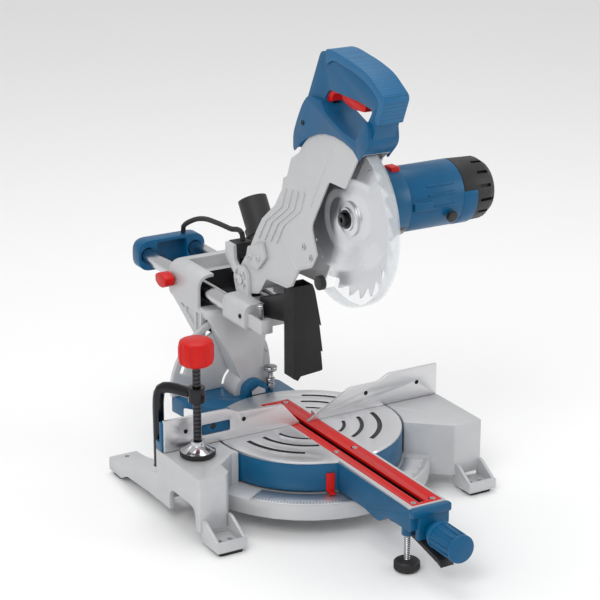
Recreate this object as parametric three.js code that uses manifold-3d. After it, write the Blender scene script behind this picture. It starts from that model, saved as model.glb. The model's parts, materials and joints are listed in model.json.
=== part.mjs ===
// Sliding compound mitre saw, 216 mm blade, head raised, mitre and bevel at zero.
// Working frame: X to the user's right, Y to the back, Z up, origin on the floor under the
// middle of the turntable.  The whole object is moved at the end so that the origin is the
// bottom centre of its bounding box.
import * as THREE from 'three';
import { mergeVertices } from 'three/addons/utils/BufferGeometryUtils.js';
import Module from 'manifold-3d';

const wasm = await Module();
wasm.setup();

// ---- driving dimensions, mm ----
const GAP = 0.4;              // running gap between neighbouring pieces
const BLADE_R = 108;          // 216 mm saw blade
const BLADE_T = 1.6;          // blade body
const KERF_T = 2.4;           // width over the carbide tips
const BLADE_X = -4;           // plane of the blade
const TABLE_Z = 97;           // height of the work surface
const TABLE_R = 136;          // turntable radius
const PLATE_T = 4;            // aluminium wear plate and kerf inserts
const ARM_END = 318;          // reach of the turntable arm in front of the centre
const ARM_HALF = 30;          // half width of the arm
const BASE_HALF = 226;        // half width of the base at table height
const FENCE_Y = 8;            // front face of the fence
const FENCE_H = 47.5;         // fence height above the table
const BEVEL_X = BLADE_X;      // bevel axis lies in the blade plane at table height
const RAIL_Z = 240;           // height of the slide rails
const RAIL_X = 41;            // half spacing of the rails
const RAIL_R = 12.5;          // 25 mm rails
const RAIL_Y0 = 110;
const RAIL_Y1 = 430;
const HOUSE_Y0 = 215;         // slide housing, front and back
const HOUSE_Y1 = 310;
const PIVOT_Y = 142;          // chop hinge
const PIVOT_Z = 280;
const AXIS_Y = -119;          // blade axis, head raised
const AXIS_Z = 436;
const GUARD_R = 118.4;        // outside radius of the clear lower guard
const GUARD_X0 = -19;         // its two outer faces
const GUARD_X1 = -0.5;
const CHEEK_X0 = -24;         // left and right outer faces of the upper guard
const CHEEK_X1 = 17;          // right face over the blade
const CHEEK_X2 = 30.5;        // right face of its wider back end
const WALL = 2.5;             // wall of the upper guard
const MODULE = 1;             // reduction gear, drawn with straight teeth
const PINION_N = 8;
const GEAR_N = 24;
const CENTRES = (MODULE * (PINION_N + GEAR_N)) / 2;
const MOTOR_Y = AXIS_Y;       // motor straight above the arbor
const MOTOR_Z = AXIS_Z + CENTRES;
const MOTOR_R = 45;

// ---- solids ----
const deg = Math.PI / 180;
const Z_AXIS = new THREE.Matrix4();
const X_AXIS = new THREE.Matrix4().makeBasis(
  new THREE.Vector3(0, 1, 0), new THREE.Vector3(0, 0, 1), new THREE.Vector3(1, 0, 0));
const Y_AXIS = new THREE.Matrix4().makeBasis(
  new THREE.Vector3(1, 0, 0), new THREE.Vector3(0, 0, 1), new THREE.Vector3(0, -1, 0));

function solid(geometry) {
  geometry.deleteAttribute('normal');
  geometry.deleteAttribute('uv');
  const g = mergeVertices(geometry, 1e-4);
  const triVerts = new Uint32Array(g.index.array);
  const mesh = () => new wasm.Mesh({
    numProp: 3, vertProperties: new Float32Array(g.attributes.position.array), triVerts });
  const body = new wasm.Manifold(mesh());
  if (body.volume() > 0) return body;
  triVerts.reverse();
  return new wasm.Manifold(mesh());
}

function join(...parts) {
  return parts.reduce((a, b) => a.add(b));
}

function cut(body, ...tools) {
  return tools.reduce((a, b) => a.subtract(b), body);
}

// Outline from corner points [a, b, r]; r rounds that corner.
function outline(points) {
  const shape = new THREE.Shape();
  const n = points.length;
  points.forEach((p, i) => {
    const before = points[(i + n - 1) % n];
    const after = points[(i + 1) % n];
    const c = new THREE.Vector2(p[0], p[1]);
    const room = Math.min(c.distanceTo(new THREE.Vector2(...before)),
      c.distanceTo(new THREE.Vector2(...after)));
    const r = Math.min(p[2] || 0, room * 0.48);
    const step = (q) => new THREE.Vector2(q[0], q[1]).sub(c).setLength(r).add(c);
    const p0 = r ? step(before) : c;
    const p1 = r ? step(after) : c;
    if (i === 0) shape.moveTo(p0.x, p0.y);
    else shape.lineTo(p0.x, p0.y);
    if (r) shape.quadraticCurveTo(c.x, c.y, p1.x, p1.y);
  });
  shape.closePath();
  return shape;
}

// Sector of a ring about (ca, cb), radii r0 to r1, angles in degrees.
function sector(ca, cb, r0, r1, a0, a1) {
  const rad = Math.PI / 180;
  const shape = new THREE.Shape();
  shape.absarc(ca, cb, r1, a0 * rad, a1 * rad, false);
  if (r0 > 0) shape.absarc(ca, cb, r0, a1 * rad, a0 * rad, true);
  else shape.lineTo(ca, cb);
  shape.closePath();
  return shape;
}

function prism(shape, frame, from, to, segments = 4) {
  const s = Array.isArray(shape) ? outline(shape) : shape;
  const g = new THREE.ExtrudeGeometry(s,
    { depth: to - from, bevelEnabled: false, curveSegments: segments });
  g.applyMatrix4(frame);
  if (frame === X_AXIS) g.translate(from, 0, 0);
  if (frame === Y_AXIS) g.translate(0, to, 0);
  if (frame === Z_AXIS) g.translate(0, 0, from);
  return solid(g);
}
const prismX = (s, a, b, n) => prism(s, X_AXIS, a, b, n);
const prismY = (s, a, b, n) => prism(s, Y_AXIS, a, b, n);
const prismZ = (s, a, b, n) => prism(s, Z_AXIS, a, b, n);

// Round bar between two stations on one axis; r may differ at the two ends.
function bar(axis, from, to, c1, c2, r, segments = 32, rEnd = r) {
  const g = new THREE.CylinderGeometry(rEnd, r, to - from, segments);
  g.translate(0, (from + to) / 2, 0);
  if (axis === 'X') {
    g.rotateZ(-Math.PI / 2);
    g.translate(0, c1, c2);
  }
  if (axis === 'Y') g.translate(c1, 0, c2);
  if (axis === 'Z') {
    g.rotateX(Math.PI / 2);
    g.translate(c1, c2, 0);
  }
  return solid(g);
}

function box(x0, x1, y0, y1, z0, z1) {
  const g = new THREE.BoxGeometry(x1 - x0, y1 - y0, z1 - z0);
  g.translate((x0 + x1) / 2, (y0 + y1) / 2, (z0 + z1) / 2);
  return solid(g);
}

// Turned piece: profile [radius, height] along Z, then moved.
function turned(profile, segments = 32) {
  const g = new THREE.LatheGeometry(profile.map((p) => new THREE.Vector2(p[0], p[1])), segments);
  g.rotateX(Math.PI / 2);
  return solid(g);
}

// Round rod along a smooth or cornered path.
function rod(points, r, segments = 24, sides = 12) {
  const path = new THREE.CatmullRomCurve3(points.map((p) => new THREE.Vector3(...p)), false, 'centripetal');
  const section = new THREE.Shape();
  section.absarc(0, 0, r, 0, 2 * Math.PI, false);
  const g = new THREE.ExtrudeGeometry(section, {
    steps: segments, extrudePath: path, bevelEnabled: false, curveSegments: sides });
  return solid(g);
}

const saw = new THREE.Group();
saw.name = 'mitre_saw';

const FINISH = {
  cast: ['#d4d4d6', 0.55, 0.3],
  blue: ['#1b6fa8', 0.45, 0.1],
  blue_plastic: ['#1b6fa8', 0.5, 0],
  guard_grey: ['#cfcdcb', 0.5, 0],
  alu: ['#dadada', 0.35, 0.9],
  steel: ['#b8b8ba', 0.25, 1],
  black_oxide: ['#2a2a2c', 0.4, 0.8],
  red: ['#e8231e', 0.5, 0],
  black: ['#1e1e20', 0.55, 0],
  rubber: ['#1a1a1a', 0.85, 0],
  clear: ['#dfe6ea', 0.1, 0],
  copper: ['#b3653a', 0.4, 1],
};

function add(name, body, finish) {
  const m = body.getMesh();
  const g = new THREE.BufferGeometry();
  g.setAttribute('position', new THREE.BufferAttribute(new Float32Array(m.vertProperties), 3));
  g.setIndex(new THREE.BufferAttribute(new Uint32Array(m.triVerts), 1));
  const [color, roughness, metalness] = FINISH[finish];
  const mesh = new THREE.Mesh(g, new THREE.MeshStandardMaterial({ color, roughness, metalness }));
  mesh.name = name;
  saw.add(mesh);
  return body;
}

// ================= base =================
const BLOCK_BACK = 31;
const PAN_R = 176;
const PAN_Z0 = 28;
const PAN_Z1 = 50;
const FOOT_T = 5;
const leftTop = [[-BASE_HALF, BLOCK_BACK], [-BASE_HALF, -98, 3], [-184, -98, 3], [-177, -90], [-175, -66],
  [-144, -38], [-100, -38], [-100, BLOCK_BACK]];
const rightTop = [[BASE_HALF, BLOCK_BACK], [100, BLOCK_BACK], [100, -46], [126, -65], [180, -111, 3],
  [BASE_HALF, -111, 3]];
const leftInside = [[-BASE_HALF + 7, BLOCK_BACK - 7], [-BASE_HALF + 7, -91], [-186, -91], [-184, -62],
  [-156, -31], [-156, BLOCK_BACK - 7]];
const rightInside = [[BASE_HALF - 7, BLOCK_BACK - 7], [156, BLOCK_BACK - 7], [156, -82], [184, -104],
  [BASE_HALF - 7, -104]];
const tableBore = bar('Z', PAN_Z1, 120, 0, 0, TABLE_R + 3, 40);

function sideBlock(top, inside, side) {
  const shell = cut(prismZ(top, 20, TABLE_Z), prismZ(inside, 10, TABLE_Z - 7));
  const back = side < 0 ? -8 : 22;
  const arch = [[-86, 10], [-86, 52, 16], [back, 52, 16], [back, 10]];
  const from = side < 0 ? -BASE_HALF - 5 : BASE_HALF - 12;
  return cut(shell, prismX(arch, from, from + 17));
}

function footTray(x0, x1, y0, y1) {
  const floor = box(x0, x1, y0, y1 + 4, FOOT_T + 0.5, 13);
  const side = [[y1 + 4, 13], [y1 + 4, 38], [y1 - 6, 38, 6], [y0 + 4, 20, 6], [y0, 13]];
  const tray = join(floor, prismX(side, x0, x0 + 4.5), prismX(side, x1 - 4.5, x1),
    box(x0, x1, y0, y0 + 5, FOOT_T + 0.5, 20));
  const xm = (x0 + x1) / 2;
  return cut(tray, bar('Z', 0, 30, xm - 8, (y0 + y1) / 2, 4, 12),
    bar('Z', 0, 30, xm + 8, (y0 + y1) / 2, 4, 12));
}

function rearLeg(side) {
  const s = side;
  const xs = (a, b) => [Math.min(s * a, s * b), Math.max(s * a, s * b)];
  const [lo, hi] = xs(184, BASE_HALF);
  const leg = prismX([[BLOCK_BACK - 8, 20], [BLOCK_BACK - 8, 62], [BLOCK_BACK + 14, 56, 8], [150, 30, 8],
    [190, 26, 6], [190, FOOT_T + 0.5], [150, FOOT_T + 0.5, 3], [130, 16, 6], [60, 20]], lo, hi);
  const hollow = box(lo + 6, hi - 6, 44, 146, 0, 22);
  return cut(leg, hollow, bar('Z', 0, 60, (lo + hi) / 2, 172, 4, 12));
}

const panShell = cut(bar('Z', PAN_Z0, PAN_Z1, 0, 0, PAN_R, 40),
  bar('Z', PAN_Z0 - 5, PAN_Z1 - 7, 0, 0, PAN_R - 7, 40));
const panRibs = [0, 45, 90, 135].map((a) => {
  const rib = box(-PAN_R + 5, PAN_R - 5, -3, 3, PAN_Z0 + 4, PAN_Z1 - 3);
  return rib.rotate([0, 0, a]);
});
const HUB_R = 20;
let base = join(panShell, ...panRibs, bar('Z', PAN_Z0, PAN_Z1, 0, 0, HUB_R + 8, 22),
  sideBlock(leftTop, leftInside, -1), sideBlock(rightTop, rightInside, 1),
  footTray(-222, -177, -143, -98), footTray(181, 226, -150, -111), rearLeg(-1), rearLeg(1));
// Socket of the clamp post, on the left rear leg just behind the fence.
const POST_R = 8;
const POST_X = -BASE_HALF + 10;
const POST_Y = BLOCK_BACK + 10;
const SOCKET_TOP = 66;
base = join(base, bar('Z', 30, SOCKET_TOP, POST_X, POST_Y, POST_R + 2, 24));
base = cut(base, tableBore, bar('Z', PAN_Z0 - 5, PAN_Z1 + 5, 0, 0, HUB_R + 0.2, 32),
  bar('Z', 34, SOCKET_TOP + 5, POST_X, POST_Y, POST_R + 0.2, 18));
// Machined seat of the fence, a little below the table face.
const SEAT_DROP = 0.5;
for (const [x0, x1] of [[-BASE_HALF - 1, -100], [100, BASE_HALF + 1]]) {
  base = cut(base, box(x0, x1, FENCE_Y - 1, BLOCK_BACK + 1, TABLE_Z - SEAT_DROP, TABLE_Z + 1));
}
// Tapped holes for the holding bolts of the fence.
for (const x of [-198, -160, 160, 198]) base = cut(base, bar('Z', 84, 110, x, 21, 3.3, 12));
add('base_casting', base, 'cast');

const pads = {
  foot_pad_front_left: [-199.5, -128], foot_pad_front_right: [203.5, -133],
  foot_pad_rear_left: [-205, 172], foot_pad_rear_right: [205, 172],
};
for (const [name, [x, y]] of Object.entries(pads)) {
  add(name, prismZ([[x - 18, y - 13, 5], [x + 18, y - 13, 5], [x + 18, y + 13, 5], [x - 18, y + 13, 5]],
    0, FOOT_T), 'rubber');
}

const SCALE_T = 1.5;
add('mitre_scale', prismZ(sector(0, 0, TABLE_R + 3.5, PAN_R - 1, 213, 325), PAN_Z1 + 0.1,
  PAN_Z1 + 0.1 + SCALE_T, 14), 'alu');

// ================= fence =================
const FENCE_T = 14;
const FENCE_Z0 = TABLE_Z + 0.3;
const FENCE_Z1 = TABLE_Z + FENCE_H;
const fenceFoot = (x0, x1) => box(x0, x1, FENCE_Y + 3, BLOCK_BACK, FENCE_Z0, FENCE_Z0 + 12);
function windowCut(x0, x1) {
  const z0 = FENCE_Z1 - 33.5;
  return prismY([[x0, z0, 3], [x1, z0, 3], [x1, z0 + 16, 3], [x0, z0 + 16, 3]], FENCE_Y - 1,
    FENCE_Y + FENCE_T + 30);
}
const STEP_Z = FENCE_Z1 - 9.5;
const HOLE_Z = FENCE_Z1 - 22;
const RIGHT_FENCE = [[6, FENCE_Z0], [BASE_HALF, FENCE_Z0], [BASE_HALF, FENCE_Z1], [143, FENCE_Z1, 3],
  [125, STEP_Z, 4], [77, STEP_Z, 4]];
let rightFence = cut(join(prismY(RIGHT_FENCE, FENCE_Y, FENCE_Y + 5), fenceFoot(142, BASE_HALF)),
  bar('Y', 0, 60, 103, HOLE_Z, 3, 12), bar('Y', 0, 60, 191, HOLE_Z, 3, 12));
const rightRibs = [155, 185, 215].map((x) => prismX([[FENCE_Y + 4, FENCE_Z0 + 4],
  [BLOCK_BACK, FENCE_Z0 + 4],
  [FENCE_Y + 8, FENCE_Z1 - 4]], x - 2.5, x + 2.5));
rightFence = join(rightFence, ...rightRibs, box(20, 145, FENCE_Y + 4, FENCE_Y + 16, FENCE_Z0 + 1,
  FENCE_Z0 + 9));
for (const x of [160, 198]) rightFence = cut(rightFence, bar('Z', 90, 125, x, 21, 3.3, 12));
add('fence_right', rightFence, 'alu');

// Left fence: a fixed lower carrier and a sliding face that moves out for bevel cuts.
const CARRIER_Y0 = FENCE_Y + 5.4;
let carrier = join(box(-BASE_HALF, -118, CARRIER_Y0, CARRIER_Y0 + 6, FENCE_Z0, FENCE_Z1 - 4),
  box(-BASE_HALF, -142, CARRIER_Y0, BLOCK_BACK, FENCE_Z0, FENCE_Z0 + 12),
  box(-142, -60, CARRIER_Y0, CARRIER_Y0 + 12, FENCE_Z0 + 1, FENCE_Z0 + 9));
carrier = cut(carrier, bar('Y', 0, 60, -145, HOLE_Z - 3, 4.4, 18));
for (const x of [-198, -160]) carrier = cut(carrier, bar('Z', 90, 125, x, 21, 3.3, 12));
add('fence_carrier', carrier, 'blue');
const leftFace = cut(prismY([[-BASE_HALF + 2, FENCE_Z0], [-8, FENCE_Z0], [-10, FENCE_Z0 + 4], [-36, STEP_Z - 3, 3],
  [-108, STEP_Z, 3],
  [-124, FENCE_Z1 - 2, 3], [-BASE_HALF + 2, FENCE_Z1]], FENCE_Y, FENCE_Y + 5),
  windowCut(-166, -121), bar('Y', 0, 40, -191, HOLE_Z, 3, 12), bar('Y', 0, 40, -99, HOLE_Z, 3, 12));
add('fence_left_sliding', leftFace, 'alu');
// Locking screw of the sliding face, through the carrier, star head at the back.
const screwY = CARRIER_Y0 + 6;
add('fence_lock_screw', join(bar('Y', CARRIER_Y0, screwY + 4, -145, HOLE_Z - 3, 4, 18),
  bar('Y', screwY + GAP, screwY + 14, -145, HOLE_Z - 3, 9.8, 10)), 'black');

// ================= material clamp =================
const CLAMP_X = -187;
const CLAMP_Y = -20;
const EYE_Z = 187;
const EYE_R = 12;
const reach = new THREE.Vector3(CLAMP_X - POST_X, CLAMP_Y - POST_Y, 0);
const armLength = reach.length() - EYE_R + 2;
// The post bends over a short radius and runs level to the eye: [reach, height].
const postPath = [[0, 36], [0, 110], [0, EYE_Z - 22], [3, EYE_Z - 9], [9, EYE_Z - 3], [22, EYE_Z],
  [armLength, EYE_Z]]
  .map(([u, z]) => [POST_X + (u / reach.length()) * reach.x, POST_Y + (u / reach.length()) * reach.y, z]);
// The bent post ends in a threaded eye.
add('clamp_post', cut(join(rod(postPath, POST_R, 26, 6),
  bar('Z', EYE_Z - 10, EYE_Z + 11, CLAMP_X, CLAMP_Y, EYE_R, 18)),
  bar('Z', 150, 240, CLAMP_X, CLAMP_Y, 6.1, 18)), 'black_oxide');
add('clamp_spindle', bar('Z', TABLE_Z + 15, 240, CLAMP_X, CLAMP_Y, 5.8, 14), 'black_oxide');
add('clamp_pad', cut(turned([[0, 0], [23, 0], [25, 2], [25, 8], [21, 9], [10, 16], [10, 22], [0, 22]], 32)
  .translate([CLAMP_X, CLAMP_Y, TABLE_Z + 0.4]), bar('Z', TABLE_Z + 14.6, 130, CLAMP_X, CLAMP_Y, 6.1,
    14)), 'rubber');
add('clamp_knob', cut(turned([[0, 0], [19, 0], [24, 4], [25, 12], [25, 26], [23, 34], [16, 37], [0, 37]],
  24)
  .translate([CLAMP_X, CLAMP_Y, 231]), bar('Z', 225, 240.4, CLAMP_X, CLAMP_Y, 6.1, 14)), 'red');

// ================= turntable =================
const DRUM_Z0 = 54;
const TOP_Z = TABLE_Z - PLATE_T;
const KERF_X0 = BLADE_X - 4;
const KERF_X1 = BLADE_X + 6;
const INSERT_X0 = -22;
const INSERT_X1 = 24;
const INSERT_Y1 = 99;
const LUG_Y0 = 144;
const LUG_Y1 = 158;
const HUB_GAP = 30;
const LEVER_Y = -ARM_END + 86;  // pivot of the detent lever
const LEVER_Z = 56;
const LEVER_PIN_R = 2.9;
const armSide = [[0, DRUM_Z0], [LEVER_Y + 27, DRUM_Z0, 6], [LEVER_Y + 4, 50, 6], [LEVER_Y - 12, 50, 6],
  [LEVER_Y - 24, 63, 5], [-ARM_END, 64, 4],
  [-ARM_END, TOP_Z - 0.2, 3], [0, TOP_Z - 0.2]];
const rearTop = [[-60, 100], [-86, 136], [-110, 172, 6], [-114, 212, 8], [30, 212, 8], [57, 186, 8],
  [57, 100]];
let table = join(bar('Z', DRUM_Z0, TOP_Z - 0.2, 0, 0, TABLE_R, 60), prismX(armSide, -ARM_HALF, ARM_HALF),
  prismZ(rearTop, 68, TOP_Z - 0.2),
  join(bar('Y', LUG_Y0, LUG_Y1, BEVEL_X, TABLE_Z, 20, 26), box(BEVEL_X - 20, BEVEL_X + 20, LUG_Y0, LUG_Y1,
    70, TABLE_Z)));
// Cored out from below, leaving a wall, a hub and ribs; the chip trough runs under the kerf.
const coreRing = cut(bar('Z', DRUM_Z0 - 2, TOP_Z - 9, 0, 0, TABLE_R - 7, 40),
  bar('Z', DRUM_Z0 - 3, TOP_Z, 0, 0, HUB_R + 9, 22),
  ...[20, 65, 110, 155].map((a) => box(-TABLE_R, TABLE_R, -3, 3, DRUM_Z0 - 3, TOP_Z).rotate([0, 0, a])));
table = cut(table, coreRing, box(-ARM_HALF + 6, ARM_HALF - 6, -ARM_END + 8, LEVER_Y - 20, 50, TOP_Z - 9),
  box(KERF_X0 - 6, KERF_X1 + 6, -ARM_END + 14, INSERT_Y1 - 8, DRUM_Z0 + 22, TABLE_Z),
  box(-110, 50, 150, 206, 60, TOP_Z - 9),
  box(BEVEL_X - 15, BEVEL_X + 15, 134, LUG_Y0, 82, TABLE_Z),
  bar('Y', LUG_Y1, 198, BEVEL_X, TABLE_Z, HUB_GAP, 32), bar('Y', 120, 220, BEVEL_X, TABLE_Z, 8.2, 22));
table = join(table, bar('Z', PAN_Z0 - 6, DRUM_Z0 + 1, 0, 0, HUB_R, 32));
table = cut(table, bar('Z', PAN_Z0 - 7, PAN_Z0 + 20, 0, 0, 6.2, 18));
table = cut(table, box(-12, 12, -ARM_END - 2, LEVER_Y + 7, 40, 84));
table = join(table, bar('X', -ARM_HALF, ARM_HALF, LEVER_Y, LEVER_Z, LEVER_PIN_R, 14));
const LEVEL_Y = -ARM_END + 21;
const LEVEL_X = -24;
table = join(table, bar('Z', 52, TOP_Z - 1, LEVEL_X + 3, LEVEL_Y, 8, 18));
table = cut(table, bar('Z', 40, 84, LEVEL_X + 3, LEVEL_Y, 4.4, 14));
add('turntable_casting', table, 'blue');

// Aluminium wear plate: disc and arm strip with a pocket for the red kerf inserts.
const plateOutline = [[-ARM_HALF + 2, -TABLE_R + 20], [-ARM_HALF + 2, -ARM_END + 4, 2],
  [ARM_HALF - 2, -ARM_END + 4, 2],
  [ARM_HALF - 2, -TABLE_R + 20]];
let plate = join(bar('Z', TOP_Z, TABLE_Z, 0, 0, TABLE_R - 1, 60), prismZ(plateOutline, TOP_Z, TABLE_Z));
plate = cut(plate, box(INSERT_X0 - 0.3, INSERT_X1 + 0.3, -ARM_END + 8, INSERT_Y1 + 0.3, TOP_Z - 1,
  TABLE_Z + 1));
const slots = [[50, 55, 190, 254], [75, 81, 187, 252], [100, 107, 186, 238], [50, 55, 300, 345],
  [75, 81, 294, 352],
  [100, 107, 300, 356], [62, 67, 30, 62], [86, 92, 24, 66], [110, 116, 20, 64]];
for (const [r0, r1, a0, a1] of slots) plate = cut(plate,
  prismZ(sector(0, 0, r0, r1, a0, a1), TABLE_Z - 1.6, TABLE_Z + 1, 5));
add('table_plate', plate, 'alu');

const insertY0 = -ARM_END + 8.3;
function insert(x0, x1) {
  let piece = prismZ([[x0, insertY0], [x1, insertY0], [x1, INSERT_Y1], [x0, INSERT_Y1]], TOP_Z,
    TABLE_Z - 0.1);
  for (const y of screwStations) piece = cut(piece, bar('Z', 80, 110, (x0 + x1) / 2, y, 4.3, 12));
  return piece;
}
const screwStations = [insertY0 + 9, -105, INSERT_Y1 - 9];
const insertLeft = [INSERT_X0, KERF_X0];
const insertRight = [KERF_X1, INSERT_X1];
const kerfFill = (x0, x1, y0, y1) => box(x0, x1, y0, y1, TOP_Z, TABLE_Z - 0.1);
// The kerf stops short of both ends, where each insert has half of the bridge.
add('kerf_insert_left', join(insert(...insertLeft), kerfFill(KERF_X0 - 1, BLADE_X + 0.8, insertY0,
  insertY0 + 7),
  kerfFill(KERF_X0 - 1, BLADE_X + 0.8, INSERT_Y1 - 12, INSERT_Y1)), 'red');
add('kerf_insert_right', join(insert(...insertRight), kerfFill(BLADE_X + 1.2, KERF_X1 + 1, insertY0,
  insertY0 + 7),
  kerfFill(BLADE_X + 1.2, KERF_X1 + 1, INSERT_Y1 - 12, INSERT_Y1)), 'red');
add('table_pivot_bolt', cut(join(bar('Z', PAN_Z0 - 5, PAN_Z0 + 19, 0, 0, 6, 18),
  bar('Z', PAN_Z0 - 14, PAN_Z0 - 6.4, 0, 0, 16, 6),
  bar('Z', PAN_Z0 - 8, PAN_Z0 - 4, 0, 0, 6, 18)), bar('Z', 0, PAN_Z0 - 13, 0, 0, 3, 6)), 'steel');

// The pointer hangs on the drum just left of the arm.
const pointerAngle = 270 - Math.asin((ARM_HALF + 9.8) / TABLE_R) / deg;
add('mitre_pointer', (() => {
  const body = join(box(TABLE_R + GAP, TABLE_R + 3, -6, 6, 54, 80),
    box(TABLE_R + GAP, TABLE_R + 16, -4, 4, 53, 55.5));
  return body.rotate([0, 0, pointerAngle]);
})(), 'red');

// Mitre lock: a round knob on a long screw that presses on the drum of the base.
const KNOB_Z = 74;
const KNOB_X = 2;
const KNOB_AXIS_Z = KNOB_Z - 12;
const KNOB_Y0 = -ARM_END - 72;
const KNOB_Y1 = -ARM_END - 16;
add('mitre_lock_knob', join(bar('Y', KNOB_Y0, KNOB_Y1, KNOB_X, KNOB_AXIS_Z, 17, 18, 19),
  bar('Y', KNOB_Y1 - 0.5, -ARM_END - 4, KNOB_X, KNOB_AXIS_Z, 12, 18),
  bar('Y', KNOB_Y1 - 5, LEVER_Y - 18, KNOB_X, KNOB_AXIS_Z, 4.5, 14)), 'blue_plastic');
// Detent lever: sprung blade that drops into the notches of the base rim.
const leverSide = [[6, 46, 2], [-7, 45, 3], [-30, 47, 8], [-68, 41, 8], [-120, 30, 10], [-130, 26, 3],
  [-124, 36, 4], [-68, 47, 8], [-30, 53, 8], [-11, 48.5], [-8, 61, 4], [6, 61, 4]];
add('detent_lever', cut(prismX(leverSide.map(([y, z, r]) => [LEVER_Y + y, z, r]), -10, 10),
  bar('X', -20, 20, LEVER_Y, LEVER_Z, LEVER_PIN_R + 0.3, 12)), 'black');
add('levelling_screw', join(bar('Z', 12, 80, LEVEL_X + 3, LEVEL_Y, 4.2, 14),
  turned([[0, 0], [15, 0], [17, 2], [17, 12], [15, 14], [0, 14]], 24)
  .translate([LEVEL_X + 3, LEVEL_Y, 1])), 'black');

// ================= bevel quadrant, arm and slide housing =================
const QUAD_Y0 = 198;
const QUAD_Y1 = 206;
const SLOT_R = 100;
const QUAD_R = SLOT_R + 14;
const aboutBevel = (r, a) => [BEVEL_X + r * Math.cos(a * deg), TABLE_Z + r * Math.sin(a * deg)];
const quadrantArc = Array.from({ length: 15 }, (_, i) => aboutBevel(QUAD_R, 171 - i * 5.5));
let quadrant = prismY([[-116.6, TOP_Z + 0.2], ...quadrantArc, [28, 180, 20], [46, 150, 14], [50, 122, 8],
  [50, TOP_Z + 0.2]], QUAD_Y0, QUAD_Y1);
quadrant = cut(quadrant, bar('Y', 190, 220, BEVEL_X, TABLE_Z, HUB_GAP, 32),
  prismY(sector(BEVEL_X, TABLE_Z, SLOT_R - 4.7, SLOT_R + 4.7, 106, 163), QUAD_Y0 - 2, QUAD_Y1 + 2, 8));
add('bevel_quadrant', quadrant, 'cast');

const armSideProfile = [[LUG_Y1 + 0.5, 60], [LUG_Y1 + 0.5, 128], [162, 165, 20], [184, 212, 14], [192, 221],
  [HOUSE_Y0 + 2, 221], [HOUSE_Y1, 217],
  [HOUSE_Y1, 214.5], [240, 214.5], [212, 205], [196, 205], [196, 60]];
const armFront = [[BEVEL_X - 18, TABLE_Z + 20], [-61, 214], [-61, 240], [61, 240], [61, 214, 10],
  [30, 190, 20],
  [BEVEL_X + 20, 150, 20], [BEVEL_X + 20, TABLE_Z + 18]];
const HOUSE_X = 63;
const MOUTH_Y = 280;
const housingOuter = [[-HOUSE_X, 214, 8], [HOUSE_X, 214, 8], [HOUSE_X, 269, 22], [-HOUSE_X, 269, 22]];
const housingInner = [[-HOUSE_X + 4.5, 219.5, 4], [HOUSE_X - 4.5, 219.5, 4], [HOUSE_X - 4.5, 264.5, 18],
  [-HOUSE_X + 4.5, 264.5, 18]];
let arm = prismX(armSideProfile, -HOUSE_X + 1, HOUSE_X - 1).intersect(prismY(armFront, 150, 320));
const gusset = [[209, 160], [209, 217], [HOUSE_Y1 - 2, 217]];
arm = join(arm, prismX(gusset, -HOUSE_X + 2, -HOUSE_X + 9), prismX(gusset, HOUSE_X - 9, HOUSE_X - 2));
arm = join(arm, bar('Y', LUG_Y1 + 0.5, 196, BEVEL_X, TABLE_Z, 28, 26),
  prismY(housingOuter, HOUSE_Y0, HOUSE_Y1, 6));
// Ribbed pockets in the left flank, and the arched mouth of the housing.
arm = cut(arm, bar('Y', 196, 208, BEVEL_X, TABLE_Z, QUAD_R + 0.8, 60),
  prismY(housingInner, HOUSE_Y0 - 1, MOUTH_Y, 6),
  box(-36, 43, HOUSE_Y0 - 2, MOUTH_Y + 15, 250, 280));
const pockets = [[[213, 174], [213, 210], [226, 210], [226, 182]],
  [[231, 185], [231, 210], [258, 210], [258, 201]], [[263, 204], [263, 210], [280, 211]]];
for (const p of pockets) arm = cut(arm, prismX(p, -70, -HOUSE_X + 5));
for (const x of [-RAIL_X, RAIL_X]) arm = cut(arm, bar('Y', 150, 330, x, RAIL_Z, RAIL_R + 0.35, 26));
arm = cut(arm, bar('Y', 130, 200, BEVEL_X, TABLE_Z, 8.1, 22));
const SLIDE_KNOB_Y = 300;
const BUSH_Z = RAIL_Z + 2;
arm = cut(arm, bar('X', -70, -RAIL_X, SLIDE_KNOB_Y, BUSH_Z, 4.2, 14));
// Bevel lock bolt seat and stop screw lug.
const [LOCK_X, LOCK_Z] = aboutBevel(SLOT_R, 112);
arm = cut(arm, bar('Y', 178, 200, LOCK_X, LOCK_Z, 4.3, 14));
add('bevel_arm', arm, 'cast');
add('bevel_pivot_pin', join(bar('Y', LUG_Y0 - 2, 196, BEVEL_X, TABLE_Z, 8, 22),
  bar('Y', LUG_Y0 - 7, LUG_Y0 - 1, BEVEL_X, TABLE_Z, 13, 6)), 'steel');
add('bevel_lock_lever', join(bar('Y', 180, 214, LOCK_X, LOCK_Z, 4.1, 14),
  bar('Y', QUAD_Y1 + GAP, 219, LOCK_X, LOCK_Z, 10, 18)), 'black');
add('bevel_pointer', prismY([[0, 0], [9, 2.5], [9, -2.5]].map(([a, b]) => [19 + a, 152 + b]),
  QUAD_Y0 - 2.4, QUAD_Y0 - 0.4), 'red');
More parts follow.
